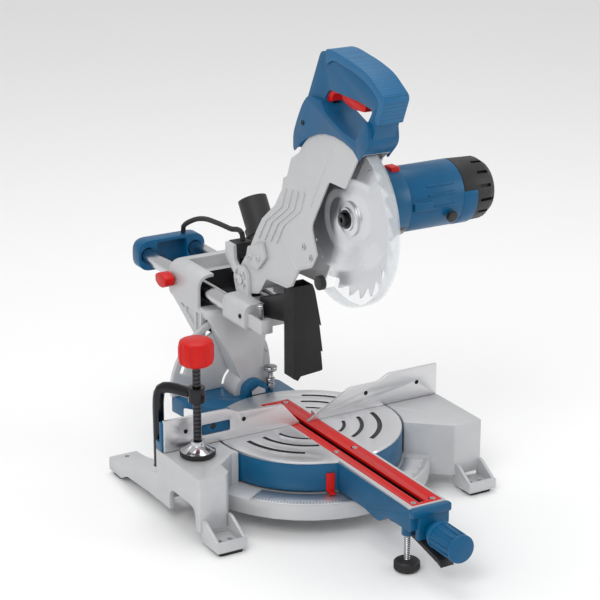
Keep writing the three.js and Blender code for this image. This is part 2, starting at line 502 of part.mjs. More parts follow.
// Slide lock: red winged knob on the left flank, its screw pressing on the left rail.
add('slide_lock_knob', join(bar('X', -HOUSE_X - 4, -HOUSE_X + 6, SLIDE_KNOB_Y, BUSH_Z, 4, 14),
  prismX([[SLIDE_KNOB_Y - 17, BUSH_Z - 5, 3], [SLIDE_KNOB_Y - 6, BUSH_Z - 11, 4],
    [SLIDE_KNOB_Y + 6, BUSH_Z - 11, 4], [SLIDE_KNOB_Y + 17, BUSH_Z - 5, 3],
    [SLIDE_KNOB_Y + 17, BUSH_Z + 5, 3], [SLIDE_KNOB_Y + 6, BUSH_Z + 11, 4], [SLIDE_KNOB_Y - 6,
      BUSH_Z + 11, 4], [SLIDE_KNOB_Y - 17, BUSH_Z + 5, 3]],
  -HOUSE_X - 20, -HOUSE_X - 3)), 'red');

// ================= slide: rails, end cap, carriage =================
for (const [side, x] of [['left', -RAIL_X], ['right', RAIL_X]]) {
  add(`rail_${side}`, bar('Y', RAIL_Y0, RAIL_Y1, x, RAIL_Z, RAIL_R, 26), 'steel');
}
const CAP_Y0 = 424;
const CAP_Y1 = 448;
const railBores = (y0, y1, r) => [-RAIL_X, RAIL_X].map((x) => bar('Y', y0, y1, x, RAIL_Z, r, 26));
add('rail_end_cap', cut(prismY([[-58, 215, 20], [58, 215, 20], [58, 264, 20], [-58, 264, 20]], CAP_Y0,
  CAP_Y1, 6),
  prismY([[-26, 220, 6], [26, 220, 6], [26, 259, 6], [-26, 259, 6]], CAP_Y0 - 1, CAP_Y1 - 5, 4),
  ...railBores(CAP_Y0 - 1, RAIL_Y1 + 0.3, RAIL_R + 0.1)), 'blue_plastic');

const CARR_Y0 = 84;
const CARR_Y1 = 150;
const LUG_L = [-30, CHEEK_X0 - GAP];
const LUG_R = [CHEEK_X2 + GAP, 37];
const lugShape = (x0, x1) => join(bar('X', x0, x1, PIVOT_Y, PIVOT_Z, 21, 26),
  prismX([[PIVOT_Y - 24, 240], [PIVOT_Y + 8, 240], [PIVOT_Y + 20.9, PIVOT_Z - 2],
    [PIVOT_Y - 20.9, PIVOT_Z - 2]], x0, x1));
let carriage = join(
  prismY([[-56, 222, 8], [LUG_L[1], 222], [LUG_L[1], 260], [-56, 260, 14]], CARR_Y0, CARR_Y1, 6),
  prismY([[LUG_R[0], 222], [56, 222, 8], [56, 260, 14], [LUG_R[0], 260]], CARR_Y0, CARR_Y1, 6),
  box(LUG_L[1] - 1, LUG_R[0] + 1, CARR_Y0, CARR_Y1, 222, 236),
  lugShape(...LUG_L), lugShape(...LUG_R),
  prismX([[148, 294], [163, 284, 4], [188, 304, 4], [188, 326, 3], [164, 326, 3], [162, 304, 3]], ...LUG_L),
  // Fork in front of the left rail that takes the depth stop screw.
  box(-50, -33, 44, CARR_Y0 + 1, 228, 233), box(-50, -46, 44, CARR_Y0 + 1, 228, 248), box(-50, -33, 44,
    49, 228, 248));
carriage = cut(carriage, ...railBores(RAIL_Y0 - 0.3, CARR_Y1 + 20, RAIL_R + 0.1),
  bar('Z', 220, 240, -41, 62, 3.5, 14), bar('X', -60, 60, PIVOT_Y, PIVOT_Z, 7.1, 22),
  ...[35, 145, 215, 325].map((a) => prismX(sector(PIVOT_Y, PIVOT_Z, 11, 17.5, a - 22, a + 22),
    LUG_L[0] - 1, LUG_L[0] + 3, 5)));
add('slide_carriage', carriage, 'cast');
add('depth_stop_screw', join(bar('Z', 223, 262, -41, 62, 3, 12), bar('Z', 262, 268, -41, 62, 6, 6)),
  'steel');
add('chop_pivot_pin', join(bar('X', LUG_L[0] - 2, LUG_R[1] + 14, PIVOT_Y, PIVOT_Z, 7, 22)), 'steel');
add('cable_gland', box(LUG_L[1] + 0.3, 10, 164, 188, 305, 327), 'black');
add('motor_lead', rod([[26, 436, 264.7], [26, 436, 273], [22, 392, 297], [17, 345, 312], [9, 285, 322],
  [0, 225, 330],
  [-5, 190, 338], [-8, 175, 335], [-8, 174, 327.6]], 4, 26, 5), 'rubber');

// Dust duct and rubber deflector behind the blade, carried by the slide.
add('dust_duct', prismX([[108, 236.6], [108, 262, 6], [84, 268, 6], [31, 290], [31, 246], [80, 236.6, 6]],
  -18, 12), 'black');
add('dust_deflector', cut(prismY([[-20.8, 306], [-20.8, 169], [-14, 165], [-9, 171], [27, 174, 3],
  [23.5, 208, 2], [27, 201, 2],
  [21, 246, 2], [24.6, 241, 2], [14, 296, 6], [10,
    306]], 3, 30.6), box(-16, 9, 6, 26, 160, 308)), 'rubber');

// ================= upper guard (hood) and head =================
const onAxis = (r, a) => [AXIS_Y + r * Math.cos(a * deg), AXIS_Z + r * Math.sin(a * deg)];
const ROOF_R = 123;
const hoodArc = (r, a0, a1, n) => Array.from({ length: n + 1 },
  (_, i) => onAxis(r, a0 + ((a1 - a0) * i) / n));
const hoodBack = [[4, 493], [16, 465], [26, 460], [30, 443], [50, 415], [87, 386], [105, 362], [127, 328],
  [152, 299]];
const hoodFront = [[142, 258, 4], [98, 270, 6], [75, 299, 6], [16, 302, 4], [2, 309], [-15, 336, 3],
  [-51, 351, 5],
  [-65, 373], [-49, 409, 10], [-96, 484, 6], [-138, 484, 4], [-167, 529, 3]];
const hoodShape = [...hoodArc(ROOF_R, 122, 35, 16), ...hoodBack, ...hoodFront];
const inward = hoodBack.map(([y, z]) => [y - 2.2, z - 2.6]);
const pocketShape = [...hoodArc(ROOF_R - WALL, 140, 36, 16), ...inward, [146, 250], [110, 200],
  [-300, 250], [-300, 500]];
const backHalf = box(10, 60, -28, 260, 240, 470);
const backPocket = box(0, 60, -25.5, 260, 230, 467.5);
let hood = join(prismX(hoodShape, CHEEK_X0, CHEEK_X1),
  prismX(hoodShape, CHEEK_X1 - 1, CHEEK_X2).intersect(backHalf));
hood = cut(hood, prismX(pocketShape, CHEEK_X0 + WALL, CHEEK_X1 - WALL),
  prismX(pocketShape, CHEEK_X1 - WALL - 1, CHEEK_X2 - WALL).intersect(backPocket));
hood = cut(join(hood, bar('X', CHEEK_X0, CHEEK_X2, PIVOT_Y, PIVOT_Z, 20, 26)),
  bar('X', -60, 60, PIVOT_Y, PIVOT_Z, 7.1, 22));
// Four raised ribs on the left cheek, parallel to the stepped back edge.
const RIB_H = 2;
const RIB_W = 4;
const RIB_STEP = 17;
const ribLine = [[98, 354.5], [77, 386], [32, 418], [20, 447]];
for (let i = 0; i < 4; i += 1) {
  const near = ribLine.map(([y, z]) => [y - i * RIB_STEP, z + i * 2]);
  const far = near.map(([y, z]) => [y - RIB_W, z]).reverse();
  hood = join(hood, prismX([...near, ...far], CHEEK_X0 - RIB_H, CHEEK_X0 + 1));
}
const portDir = [0.56, 0.83];
const portAt = (d) => [134 + portDir[0] * d, 345 + portDir[1] * d];
const portTilt = -Math.atan2(portDir[0], portDir[1]) / deg;
function portBar(d0, d1, r, seg = 32) {
  const body = bar('Z', d0, d1, 0, 0, r, seg);
  return body.rotate([portTilt, 0, 0]).translate([3, 134, 345]);
}
hood = cut(hood, portBar(-30, 30, 18.6), box(27.5, 31, 80, 118, 255, 288));
add('upper_guard', hood, 'guard_grey');
add('dust_port', cut(join(portBar(6, 56, 21.5), portBar(1, 12, 24), portBar(-20, 8, 18)),
  portBar(5, 60, 18.5), portBar(-24, 8, 15.5)), 'black');

// ---- gear case, motor ----
const GEAR_X0 = CHEEK_X1 + GAP;
const GEAR_X1 = 62;
const COLLAR_R = 24.5;
let gear = join(bar('X', GEAR_X0, GEAR_X1, MOTOR_Y, MOTOR_Z, MOTOR_R + 3, 32),
  bar('X', GEAR_X0, GEAR_X1 - 14, AXIS_Y, AXIS_Z, 40, 26),
  bar('X', GUARD_X1 - 2.2, GEAR_X0 + 1, AXIS_Y, AXIS_Z, COLLAR_R, 26),
  prismX(sector(AXIS_Y, AXIS_Z, 0, 104, 28, 140), 4, 9, 14));
gear = cut(gear, bar('X', -10, 6, AXIS_Y, AXIS_Z, 20.5, 26), bar('X', 5, 46, AXIS_Y, AXIS_Z, 10.2, 22),
  bar('X', 30, 45, AXIS_Y, AXIS_Z, 15, 26), bar('X', 30, 70, MOTOR_Y, MOTOR_Z, 7, 22));
// Clear of the wider back end of the hood.
gear = cut(gear, box(16, CHEEK_X2 + GAP, -29, 40, 300, 480));
add('gear_case', gear, 'black_oxide');
const MOTOR_X1 = 150;
const FRAME_T = 4;
let housing = join(bar('X', GEAR_X1 + GAP, MOTOR_X1, MOTOR_Y, MOTOR_Z, MOTOR_R, 32),
  prismX([[MOTOR_Y - MOTOR_R - 5, MOTOR_Z - 6, 2], [MOTOR_Y, MOTOR_Z - 6], [MOTOR_Y, MOTOR_Z + 6],
    [MOTOR_Y - MOTOR_R - 5, MOTOR_Z + 6, 2]], GEAR_X1 + 4, GEAR_X1 + 34));
housing = cut(housing, bar('X', GEAR_X1, MOTOR_X1 + 1, MOTOR_Y, MOTOR_Z, MOTOR_R - FRAME_T, 32));
add('motor_housing', housing, 'blue_plastic');
const END_X = 205;
let endCap = join(bar('X', MOTOR_X1 + GAP, END_X - 12, MOTOR_Y, MOTOR_Z, MOTOR_R, 32, MOTOR_R - 2),
  bar('X', END_X - 12.01, END_X, MOTOR_Y, MOTOR_Z, MOTOR_R - 2, 32, MOTOR_R - 10));
endCap = cut(endCap, bar('X', MOTOR_X1, END_X - 16, MOTOR_Y, MOTOR_Z, MOTOR_R - 7, 32, MOTOR_R - 9));
for (let i = 0; i < 8; i += 1) {
  const slot = box(END_X - 10, END_X - 2, -2.2, 2.2, MOTOR_R - 22,
    MOTOR_R + 5).rotate([i * 22.5 + 180 - 78, 0, 0]).translate([0, MOTOR_Y, MOTOR_Z]);
  endCap = cut(endCap, slot);
}
add('motor_end_cap', endCap, 'black');

// Field stack around the armature, held in the motor housing.
add('motor_field', cut(bar('X', 74, 128, MOTOR_Y, MOTOR_Z, MOTOR_R - FRAME_T - 0.3, 26),
  bar('X', 70, 130, MOTOR_Y, MOTOR_Z, 27, 26)), 'black_oxide');
add('arbor_bearing', cut(bar('X', 10, 20, AXIS_Y, AXIS_Z, 10.1, 22),
  bar('X', 9, 21, AXIS_Y, AXIS_Z, 8.2, 22)), 'steel');

function toothed(teeth, x0, x1, y, z, phase) {
  const pitch = (MODULE * teeth) / 2;
  const pts = [];
  for (let i = 0; i < teeth; i += 1) {
    const c = phase + (i * 360) / teeth;
    const half = (mm, r) => ((mm / 2) / r) / deg;
    const root = pitch - 1.2;
    const tip = pitch + 0.75;
    for (const [r, w, side] of [[root, 1.6, -1], [pitch, 1.15, -1], [tip, 0.5, -1], [tip, 0.5, 1],
      [pitch, 1.15, 1], [root, 1.6, 1]]) {
      const a = (c + side * half(w, r)) * deg;
      pts.push([y + r * Math.cos(a), z + r * Math.sin(a)]);
    }
  }
  return prismX(pts, x0, x1);
}
const LINE = 90;              // direction from the blade axis to the motor axis
// Blade, its clamping pieces and the arbor turn together.
const arbor = cut(join(bar('X', BLADE_X - 5.2, 46 - 1.5, AXIS_Y, AXIS_Z, 8, 22),
  toothed(GEAR_N, 32, 43, AXIS_Y, AXIS_Z, LINE + 180 / GEAR_N)),
  bar('X', -12, 14, AXIS_Y, AXIS_Z, 4.35, 12));
add('arbor_shaft', arbor, 'steel');
const BORE_R = 15;
add('inner_flange', cut(join(bar('X', BLADE_X + BLADE_T / 2 + 0.1, 3, AXIS_Y, AXIS_Z, 20, 26),
  bar('X', BLADE_X - BLADE_T / 2 + 0.2, 1, AXIS_Y, AXIS_Z, BORE_R - 0.1,
    22)), bar('X', -10, 6, AXIS_Y, AXIS_Z, 8.05, 22)), 'steel');
const TEETH = 24;
function bladeBody() {
  const pts = [];
  for (let i = 0; i < TEETH; i += 1) {
    const a = (360 * i) / TEETH;
    const at = (r, d) => [AXIS_Y + r * Math.cos((a + d) * deg), AXIS_Z + r * Math.sin((a + d) * deg)];
    pts.push(at(BLADE_R - 13, 0.4), at(BLADE_R - 12, 3), at(BLADE_R - 3, 11.2), at(BLADE_R - 1, 14.2));
  }
  return prismX(pts, BLADE_X - BLADE_T / 2, BLADE_X + BLADE_T / 2);
}
let blade = bladeBody();
for (let i = 0; i < TEETH; i += 1) {
  const a = (360 * i) / TEETH;
  const at = (r, d) => [AXIS_Y + r * Math.cos((a + d) * deg), AXIS_Z + r * Math.sin((a + d) * deg)];
  blade = join(blade, prismX([at(BLADE_R - 7, 14.9), at(BLADE_R - 7, 13.2), at(BLADE_R - 0.6, 13.6),
    at(BLADE_R, 15)],
    BLADE_X - KERF_T / 2, BLADE_X + KERF_T / 2));
}
blade = cut(blade, bar('X', -10, 10, AXIS_Y, AXIS_Z, BORE_R, 26));
for (const a of [30, 120, 210, 300]) {
  blade = cut(blade, prismX([onAxis(BLADE_R - 20, a), onAxis(BLADE_R - 9, a + 3.2),
    onAxis(BLADE_R - 9, a + 4), onAxis(BLADE_R - 20, a + 1)], -10, 2));
}
add('saw_blade', blade, 'steel');
const OUT_X = BLADE_X - BLADE_T / 2 - 0.1;
add('outer_flange', cut(join(bar('X', OUT_X - 3, OUT_X, AXIS_Y, AXIS_Z, 24, 32),
  bar('X', OUT_X - 6, OUT_X - 2.5, AXIS_Y, AXIS_Z, 16, 26)),
  bar('X', -20, 0, AXIS_Y, AXIS_Z, 8.05, 22)), 'steel');
add('arbor_bolt', cut(join(bar('X', OUT_X - 8, OUT_X - 6.1, AXIS_Y, AXIS_Z, 13, 22),
  bar('X', OUT_X - 13, OUT_X - 7.9, AXIS_Y, AXIS_Z, 10, 18),
  bar('X', OUT_X - 7, 12, AXIS_Y, AXIS_Z, 4,
    14)), bar('X', -30, OUT_X - 9.5, AXIS_Y, AXIS_Z, 4, 6)), 'black_oxide');

const rotor = join(bar('X', 44, 187, MOTOR_Y, MOTOR_Z, 4, 14),
  bar('X', 76, 126, MOTOR_Y, MOTOR_Z, 25.5, 22), bar('X', 134, 148, MOTOR_Y, MOTOR_Z, 13, 18),
  toothed(PINION_N, 31.5, 44.5, MOTOR_Y, MOTOR_Z, LINE + 180));
add('motor_armature', rotor, 'copper');

// ---- lower guard ----
const GT = 1.6;
const G0 = 121;
const G1 = 292;
const AX = [AXIS_Y, AXIS_Z];
let lower = join(prismX(sector(...AX, 31, GUARD_R, G0, G1), GUARD_X0, GUARD_X0 + GT, 14),
  bar('X', GUARD_X0, GUARD_X0 + GT, ...AX, 42, 26));
lower = join(lower, prismX(sector(...AX, 26, GUARD_R, G0, G1), GUARD_X1 - GT, GUARD_X1, 14),
  bar('X', GUARD_X1 - GT, GUARD_X1, ...AX, 36, 26));
lower = join(lower, prismX(sector(...AX, GUARD_R - 1.8, GUARD_R, G0, G1), GUARD_X0 + 0.5, GUARD_X1 - 0.5,
  14));
const rollerAt = onAxis(109, G1 + 2);
lower = join(lower, bar('X', GUARD_X0, GUARD_X0 + GT, ...rollerAt, 9, 18));
lower = cut(lower, bar('X', GUARD_X0 - 1, GUARD_X0 + GT + 1, ...AX, 31, 26),
  bar('X', GUARD_X1 - GT - 1, GUARD_X1 + 1, ...AX, COLLAR_R + 0.2, 32),
  prismX(sector(...AX, 44, 72, 208, 262), GUARD_X0 - 1, GUARD_X0 + GT + 1, 5), bar('X', GUARD_X0 - 1,
    GUARD_X0 + 3, ...rollerAt, 3.1, 12));
add('lower_guard', lower, 'clear');
add('guard_roller', join(bar('X', GUARD_X0 - 9, GUARD_X0 - GAP, ...rollerAt, 10, 18),
  bar('X', GUARD_X0 - 5, GUARD_X0 + 2, ...rollerAt, 3, 12)), 'black');

// ---- handle ----
const HX0 = CHEEK_X0 - 2.6;
const HX1 = CHEEK_X1 + 2.6;
const handleOuter = [[-6, 508, 3], [-6, 531, 12], [-18, 556, 20], [-32, 579, 20], [-70, 656, 8],
  [-104, 658, 20], [-156, 651, 20], [-192, 642, 14],
  [-226, 621, 8], [-194, 552, 14], [-172, 529, 3]];
const lowEdge = Array.from({ length: 9 }, (_, i) => {
  const a = (118 - i * 9.1) * deg;
  return [-112 + 147 * Math.cos(a) * (i === 0 ? 0.88 : 1), 403 + 147 * Math.sin(a)];
});
const lowerShape = [...lowEdge, [-6, 512], [-6, 531, 12], [-18, 556, 20], [-32, 579, 14], [-46, 592, 8],
  [-196, 585, 6], [-200, 556, 10], [-174, 530, 3]];
const gripHalf = 17;
let shell = join(prismX(lowerShape, HX0, HX1), prismX(handleOuter, -4 - gripHalf, -4 + gripHalf));
const opening = [[-78, 592, 8], [-92, 608, 5], [-163, 607, 4], [-200, 602, 8], [-184, 579, 6],
  [-167, 556, 8],
  [-134, 561, 10], [-90, 577, 8]];
shell = cut(shell, prismX(opening, HX0 - 1, HX1 + 1), bar('X', CHEEK_X0 - GAP, CHEEK_X1 + GAP, ...AX,
  ROOF_R + GAP, 40),
  box(CHEEK_X0 - GAP, CHEEK_X1 + GAP, -40, 10, 480, 513), prismX([[-190, 400], [-300, 620], [-196, 544],
    [-172, 529]], 40, 60),
  box(-9, 1, -176, -80, 590, 625), box(-9, 1, -114, -70, 586, 618));
add('handle_shell', shell, 'blue_plastic');
const gripOuter = [[-86, 640], [-84, 661, 6], [-104, 662.5, 20], [-156, 655.5, 20], [-193, 646.5, 14],
  [-231, 623, 8], [-214, 584, 4], [-206, 590, 4],
  [-216, 618, 8], [-190, 634, 12], [-156, 643, 14], [-104, 650, 14]];
let grip = cut(prismX(gripOuter, -4 - gripHalf - 2, -4 + gripHalf + 2),
  prismX(handleOuter, -4 - gripHalf - GAP, -4 + gripHalf + GAP));
add('handle_grip', grip, 'blue_plastic');
add('trigger', join(prismX([[-174, 609], [-170, 614, 2], [-116, 616, 3], [-114, 604, 6], [-140, 596, 10],
  [-172, 598, 3]], -8, 0), bar('X', -8, 0, -170, 606, 4.5, 14)), 'red');
add('lock_off_lever', prismX([[-110, 615, 2], [-84, 612, 2], [-72, 602, 3], [-80, 590, 4], [-90, 593, 3],
  [-96, 604, 3], [-110, 608, 2]], -8, 0), 'red');

// ---- small outer pieces of the head ----
const bracketShape = [[128, 316, 3], [122, 336, 3], [80, 352, 3], [70, 332, 3], [94, 308, 3],
  [116, 308, 3]];
const BOLTS = [[114, 322], [90, 326]];
add('guard_bracket', cut(join(prismX(bracketShape, CHEEK_X0 - 5, CHEEK_X0 - GAP),
  ...BOLTS.map(([y, z]) => bar('X', CHEEK_X0 - 8, CHEEK_X0 - 4, y, z, 4.5, 14))),
...BOLTS.map(([y, z]) => bar('X', CHEEK_X0 - 9, CHEEK_X0 - 6, y, z, 2.3, 6))), 'cast');
add('bevel_stop_screw', join(bar('Z', TOP_Z, 128, 24, 151, 4, 12), bar('Z', 100, 106, 24, 151, 7, 6),
  bar('Z', 108, 114, 24, 151, 7, 6),
  bar('Z', 126, 132, 24, 151, 10, 18)), 'steel');

// ================= move to the row origin and hand over =================
const bounds = new THREE.Box3().setFromObject(saw);
const shift = new THREE.Vector3(-(bounds.min.x + bounds.max.x) / 2, -(bounds.min.y + bounds.max.y) / 2,
  -bounds.min.z);
for (const mesh of saw.children) mesh.geometry.translate(shift.x, shift.y, shift.z);

export default saw;
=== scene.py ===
# %% [markdown]
# # A sliding compound mitre saw
# The saw stands on its own cast base.  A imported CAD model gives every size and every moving
# body; this lesson puts finishes on it, rounds what a mould or a die rounds, and adds the fine
# pieces: printed scales, screws, ribs, vents, grip texture and the striped guard.

import json
import math

import bpy
from mathutils import Matrix, Vector


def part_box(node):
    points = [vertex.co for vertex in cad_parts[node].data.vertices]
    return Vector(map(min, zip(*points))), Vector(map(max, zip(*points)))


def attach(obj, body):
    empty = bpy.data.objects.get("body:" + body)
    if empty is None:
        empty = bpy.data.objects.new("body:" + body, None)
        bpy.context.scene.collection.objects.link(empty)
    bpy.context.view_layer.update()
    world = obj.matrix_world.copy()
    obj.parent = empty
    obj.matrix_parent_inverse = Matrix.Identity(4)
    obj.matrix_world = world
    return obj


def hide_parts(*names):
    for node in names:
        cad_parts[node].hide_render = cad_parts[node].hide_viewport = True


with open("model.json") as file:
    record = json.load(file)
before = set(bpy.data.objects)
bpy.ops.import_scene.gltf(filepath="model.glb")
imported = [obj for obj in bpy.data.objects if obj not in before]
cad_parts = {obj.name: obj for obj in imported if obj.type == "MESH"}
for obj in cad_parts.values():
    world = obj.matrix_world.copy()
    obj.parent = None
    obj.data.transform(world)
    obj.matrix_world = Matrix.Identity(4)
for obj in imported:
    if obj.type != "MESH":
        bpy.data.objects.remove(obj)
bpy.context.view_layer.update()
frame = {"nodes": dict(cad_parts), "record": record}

# %% [markdown]
# All places below are in millimetres from the turntable's centre on the floor, the point a
# maker would measure from.  The pivot bolt's box says where that point is in the CAD frame.

# %% Measuring from the turntable's centre
MM = 0.001
_low, _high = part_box("table_pivot_bolt")
HUB = Vector(((_low[0] + _high[0]) / 2, (_low[1] + _high[1]) / 2, 0))


def at(x, y, z):
    return HUB + Vector((x, y, z)) * MM


print("turntable centre at", [round(v, 4) for v in HUB])

# %% [markdown]
# Most turned pieces stand on one of six axes.  Each is named once, by the two measures that are
# the same all along it, so a rib or a flute is placed by its angle and its radius.

# %% The axes, and what rides on what
BLADE_Y, BLADE_Z = -119, 436
MOTOR_Y, MOTOR_Z = -119, 452
BEVEL_X, BEVEL_Z = -4, 97
CLAMP_X, CLAMP_Y = -187, -20
KNOB_X, KNOB_Z = 2, 62
LEVEL_X, LEVEL_Y = -21, -297

BODIES = frame["record"]["behaviour"]["bodies"]
BODY_OF = {node: body for body, nodes in BODIES.items() for node in nodes}
SLOT_OF = {row["node"]: row["material_slot"] for row in frame["record"]["subparts"]}

# %% [markdown]
# ## Finishes
# Each finish starts from a real material.  Colours are sRGB values as a paint card gives them,
# turned to linear by one function.  One small helper adds a node, sets it and links it.

# %% Colour and node helpers
def linear(hex_value):
    parts = [int(hex_value[i:i + 2], 16) / 255 for i in (1, 3, 5)]
    parts = [p / 12.92 if p <= 0.04045 else ((p + 0.055) / 1.055) ** 2.4 for p in parts]
    return (*parts, 1.0)


def put(tree, kind, links=None, **settings):
    node = tree.nodes.new(kind)
    for key, value in settings.items():
        name = key.replace("_", " ")
        socket = next((s for s in node.inputs if s.name.lower() == name.lower()), None)
        if hasattr(node, key) and key not in ("color", "location"):
            setattr(node, key, value)
        else:
            socket.default_value = value
    for key, source in (links or {}).items():
        tree.links.new(source, node.inputs[key])
    return node


def per_metre(size_mm):
    """Noise makes about two grains to one unit of scale, so this gives grains of that size."""
    return 1000 / size_mm / 2


def shades(tree, source, low, high, start=0.0, end=1.0):
    ramp = put(tree, "ShaderNodeValToRGB", {"Fac": source})
    ramp.color_ramp.elements[0].position = start
    ramp.color_ramp.elements[1].position = end
    ramp.color_ramp.elements[0].color = low
    ramp.color_ramp.elements[1].color = high
    return ramp.outputs["Color"]


# %% [markdown]
# Most surfaces here are one of two kinds: a painted die casting, whose powder coat has a slight
# orange peel, or a moulded plastic, whose mould was spark eroded to a fine matte grain.  Both
# are a base colour that wanders a little, a roughness that wanders with it, and a small bump.

# %% A maker of coated and moulded finishes
def coated(name, colour, rough, grain_mm, bump, metallic=0.0, drift=0.06, coat=0.0, spec=0.5):
    material = bpy.data.materials.new(name)
    material.use_nodes = True
    tree = material.node_tree
    shader = tree.nodes["Principled BSDF"]
    place = put(tree, "ShaderNodeTexCoord").outputs["Object"]
    broad = put(tree, "ShaderNodeTexNoise", {"Vector": place}, Scale=18.0, Detail=3.0, Roughness=0.6)
    fine = put(tree, "ShaderNodeTexNoise", {"Vector": place}, Scale=per_metre(grain_mm), Detail=2.0)
    base = linear(colour)
    low = tuple(c * (1 - drift) for c in base[:3]) + (1.0,)
    high = tuple(min(1.0, c * (1 + drift)) for c in base[:3]) + (1.0,)
    tree.links.new(shades(tree, broad.outputs["Fac"], low, high, 0.3, 0.7), shader.inputs["Base Color"])
    wander = put(tree, "ShaderNodeMapRange", {"Value": broad.outputs["Fac"]},
                 From_Min=0.3, From_Max=0.7, To_Min=rough * 0.88, To_Max=min(1.0, rough * 1.12))
    tree.links.new(wander.outputs["Result"], shader.inputs["Roughness"])
    lift = put(tree, "ShaderNodeBump", {"Height": fine.outputs["Fac"]}, Strength=bump, Distance=0.0003)
    tree.links.new(lift.outputs["Normal"], shader.inputs["Normal"])
    shader.inputs["Metallic"].default_value = metallic
    shader.inputs["Coat Weight"].default_value = coat
    shader.inputs["Coat Roughness"].default_value = 0.25
    if metallic == 0:
        shader.inputs["Specular IOR Level"].default_value = spec
    return material


# %% [markdown]
# Bare metal is different: what the eye reads is the direction of the grinding or brushing.
# The noise is stretched along that direction, so it becomes fine lines.

# %% A maker of ground and brushed metal
GRIND_SPREAD = 0.35


def ground(name, colour, rough, stretch, line_mm, bump):
    material = bpy.data.materials.new(name)
    material.use_nodes = True
    tree = material.node_tree
    shader = tree.nodes["Principled BSDF"]
    place = put(tree, "ShaderNodeTexCoord").outputs["Object"]
    turned = put(tree, "ShaderNodeMapping", {"Vector": place}, Scale=stretch)
    lines = put(tree, "ShaderNodeTexNoise", {"Vector": turned.outputs["Vector"]},
                Scale=per_metre(line_mm), Detail=3.0, Roughness=0.6)
    base = linear(colour)
    low = tuple(c * 0.9 for c in base[:3]) + (1.0,)
    tree.links.new(shades(tree, lines.outputs["Fac"], low, base, 0.3, 0.7), shader.inputs["Base Color"])
    wander = put(tree, "ShaderNodeMapRange", {"Value": lines.outputs["Fac"]}, From_Min=0.3, From_Max=0.7,
                 To_Min=rough * (1 - GRIND_SPREAD), To_Max=rough * (1 + GRIND_SPREAD))
    tree.links.new(wander.outputs["Result"], shader.inputs["Roughness"])
    lift = put(tree, "ShaderNodeBump", {"Height": lines.outputs["Fac"]}, Strength=bump, Distance=0.0001)
    tree.links.new(lift.outputs["Normal"], shader.inputs["Normal"])
    shader.inputs["Metallic"].default_value = 1.0
    return material


# %% [markdown]
# The castings are aluminium, die cast and powder coated, so they are a painted grey or blue that
# is only slightly glossy.  Grips and shells are glass filled nylon from a spark eroded mould, with
# a soft sheen.  The table is milled and keeps its cutter lines; rails and pins are ground and
# chromed, almost mirrors along their length; small screws are blackened and oiled.

# %% The saw's finishes
CAST_GREY, SAW_BLUE, GRIP_BLUE_HEX = "#C3C4C6", "#00547C", "#00547E"
FINISH = {
    # Powder coat over a casting: matte grey or blue with a faint orange peel.
    "cast": coated("powder_coated_die_casting_grey", CAST_GREY, 0.4, 0.9, 0.25, metallic=0.25, drift=0.05),
    "blue": coated("powder_coated_die_casting_blue", SAW_BLUE, 0.34, 0.9, 0.2,
                   drift=0.1, coat=0.1, spec=0.32),
    "guard_grey": coated("painted_hood_grey", CAST_GREY, 0.36, 0.7, 0.15, metallic=0.2, drift=0.03),
    # Moulded plastics: the grain of the mould breaks up the highlight.
    "blue_plastic": coated("glass_filled_nylon_blue", GRIP_BLUE_HEX, 0.38, 0.6, 0.35, drift=0.1, spec=0.32),
    "red": coated("moulded_nylon_red", "#C80C06", 0.4, 0.6, 0.2, drift=0.06, spec=0.3),
    "black": coated("glass_filled_nylon_black", "#1B1B1D", 0.5, 0.6, 0.4, drift=0.12),
    "rubber": coated("moulded_rubber_black", "#191919", 0.72, 0.8, 0.4, drift=0.12),
    # Bare metals: the highlight is drawn out across the tool marks.
    "alu": ground("milled_aluminium", "#E0E0E2", 0.42, (1, 14, 14), 1.2, 0.1),
    "steel": ground("ground_and_chromed_steel", "#C9C9CC", 0.16, (14, 1, 14), 1.0, 0.05),
    "black_oxide": ground("blackened_steel", "#38383B", 0.16, (6, 6, 1), 1.0, 0.08),
    "copper": ground("wound_copper", "#B0653C", 0.4, (1, 12, 12), 0.8, 0.2),
}
print(len(FINISH), "finishes")

# %% [markdown]
# The swinging guard is clear polycarbonate, injection moulded and polished, so it lets the blade show
# through; its rim carries a painted sheen, a more opaque milky band for the light its edge catches.

# %% Clear polycarbonate
def polycarbonate(name, alpha, colour):
    material = bpy.data.materials.new(name)
    material.use_nodes = True
    tree = material.node_tree
    shader = tree.nodes["Principled BSDF"]
    place = put(tree, "ShaderNodeTexCoord").outputs["Object"]
    haze = put(tree, "ShaderNodeTexNoise", {"Vector": place}, Scale=60.0, Detail=3.0)
    wander = put(tree, "ShaderNodeMapRange", {"Value": haze.outputs["Fac"]}, To_Min=0.03, To_Max=0.1)
    tree.links.new(wander.outputs["Result"], shader.inputs["Roughness"])
    veil = put(tree, "ShaderNodeMapRange", {"Value": haze.outputs["Fac"]},
               To_Min=alpha * 0.8, To_Max=alpha * 1.2)
    tree.links.new(veil.outputs["Result"], shader.inputs["Alpha"])
    shader.inputs["Base Color"].default_value = linear(colour)
    shader.inputs["IOR"].default_value = 1.58
    return material


# Looked through, the wall is nearly invisible; the rim is a painted sheen, a more opaque milky white for the
# light caught along its edge.
FINISH["clear"] = polycarbonate("clear_polycarbonate_wall", 0.08, "#E9EDF0")
CLEAR_RIM_PAINTED_SHEEN = polycarbonate("clear_polycarbonate_rim", 0.42, "#DDE2E6")

# %% [markdown]
# A saw blade is ground on a turning table, so its marks are circles round the arbor and the
# light lies across it in bright wedges.  The tangent of the anisotropic reflection is set square
# to the radius, as the wheel left it.

# %% Circular grinding
BLADE_CENTRE = at(BEVEL_X, BLADE_Y, BLADE_Z)


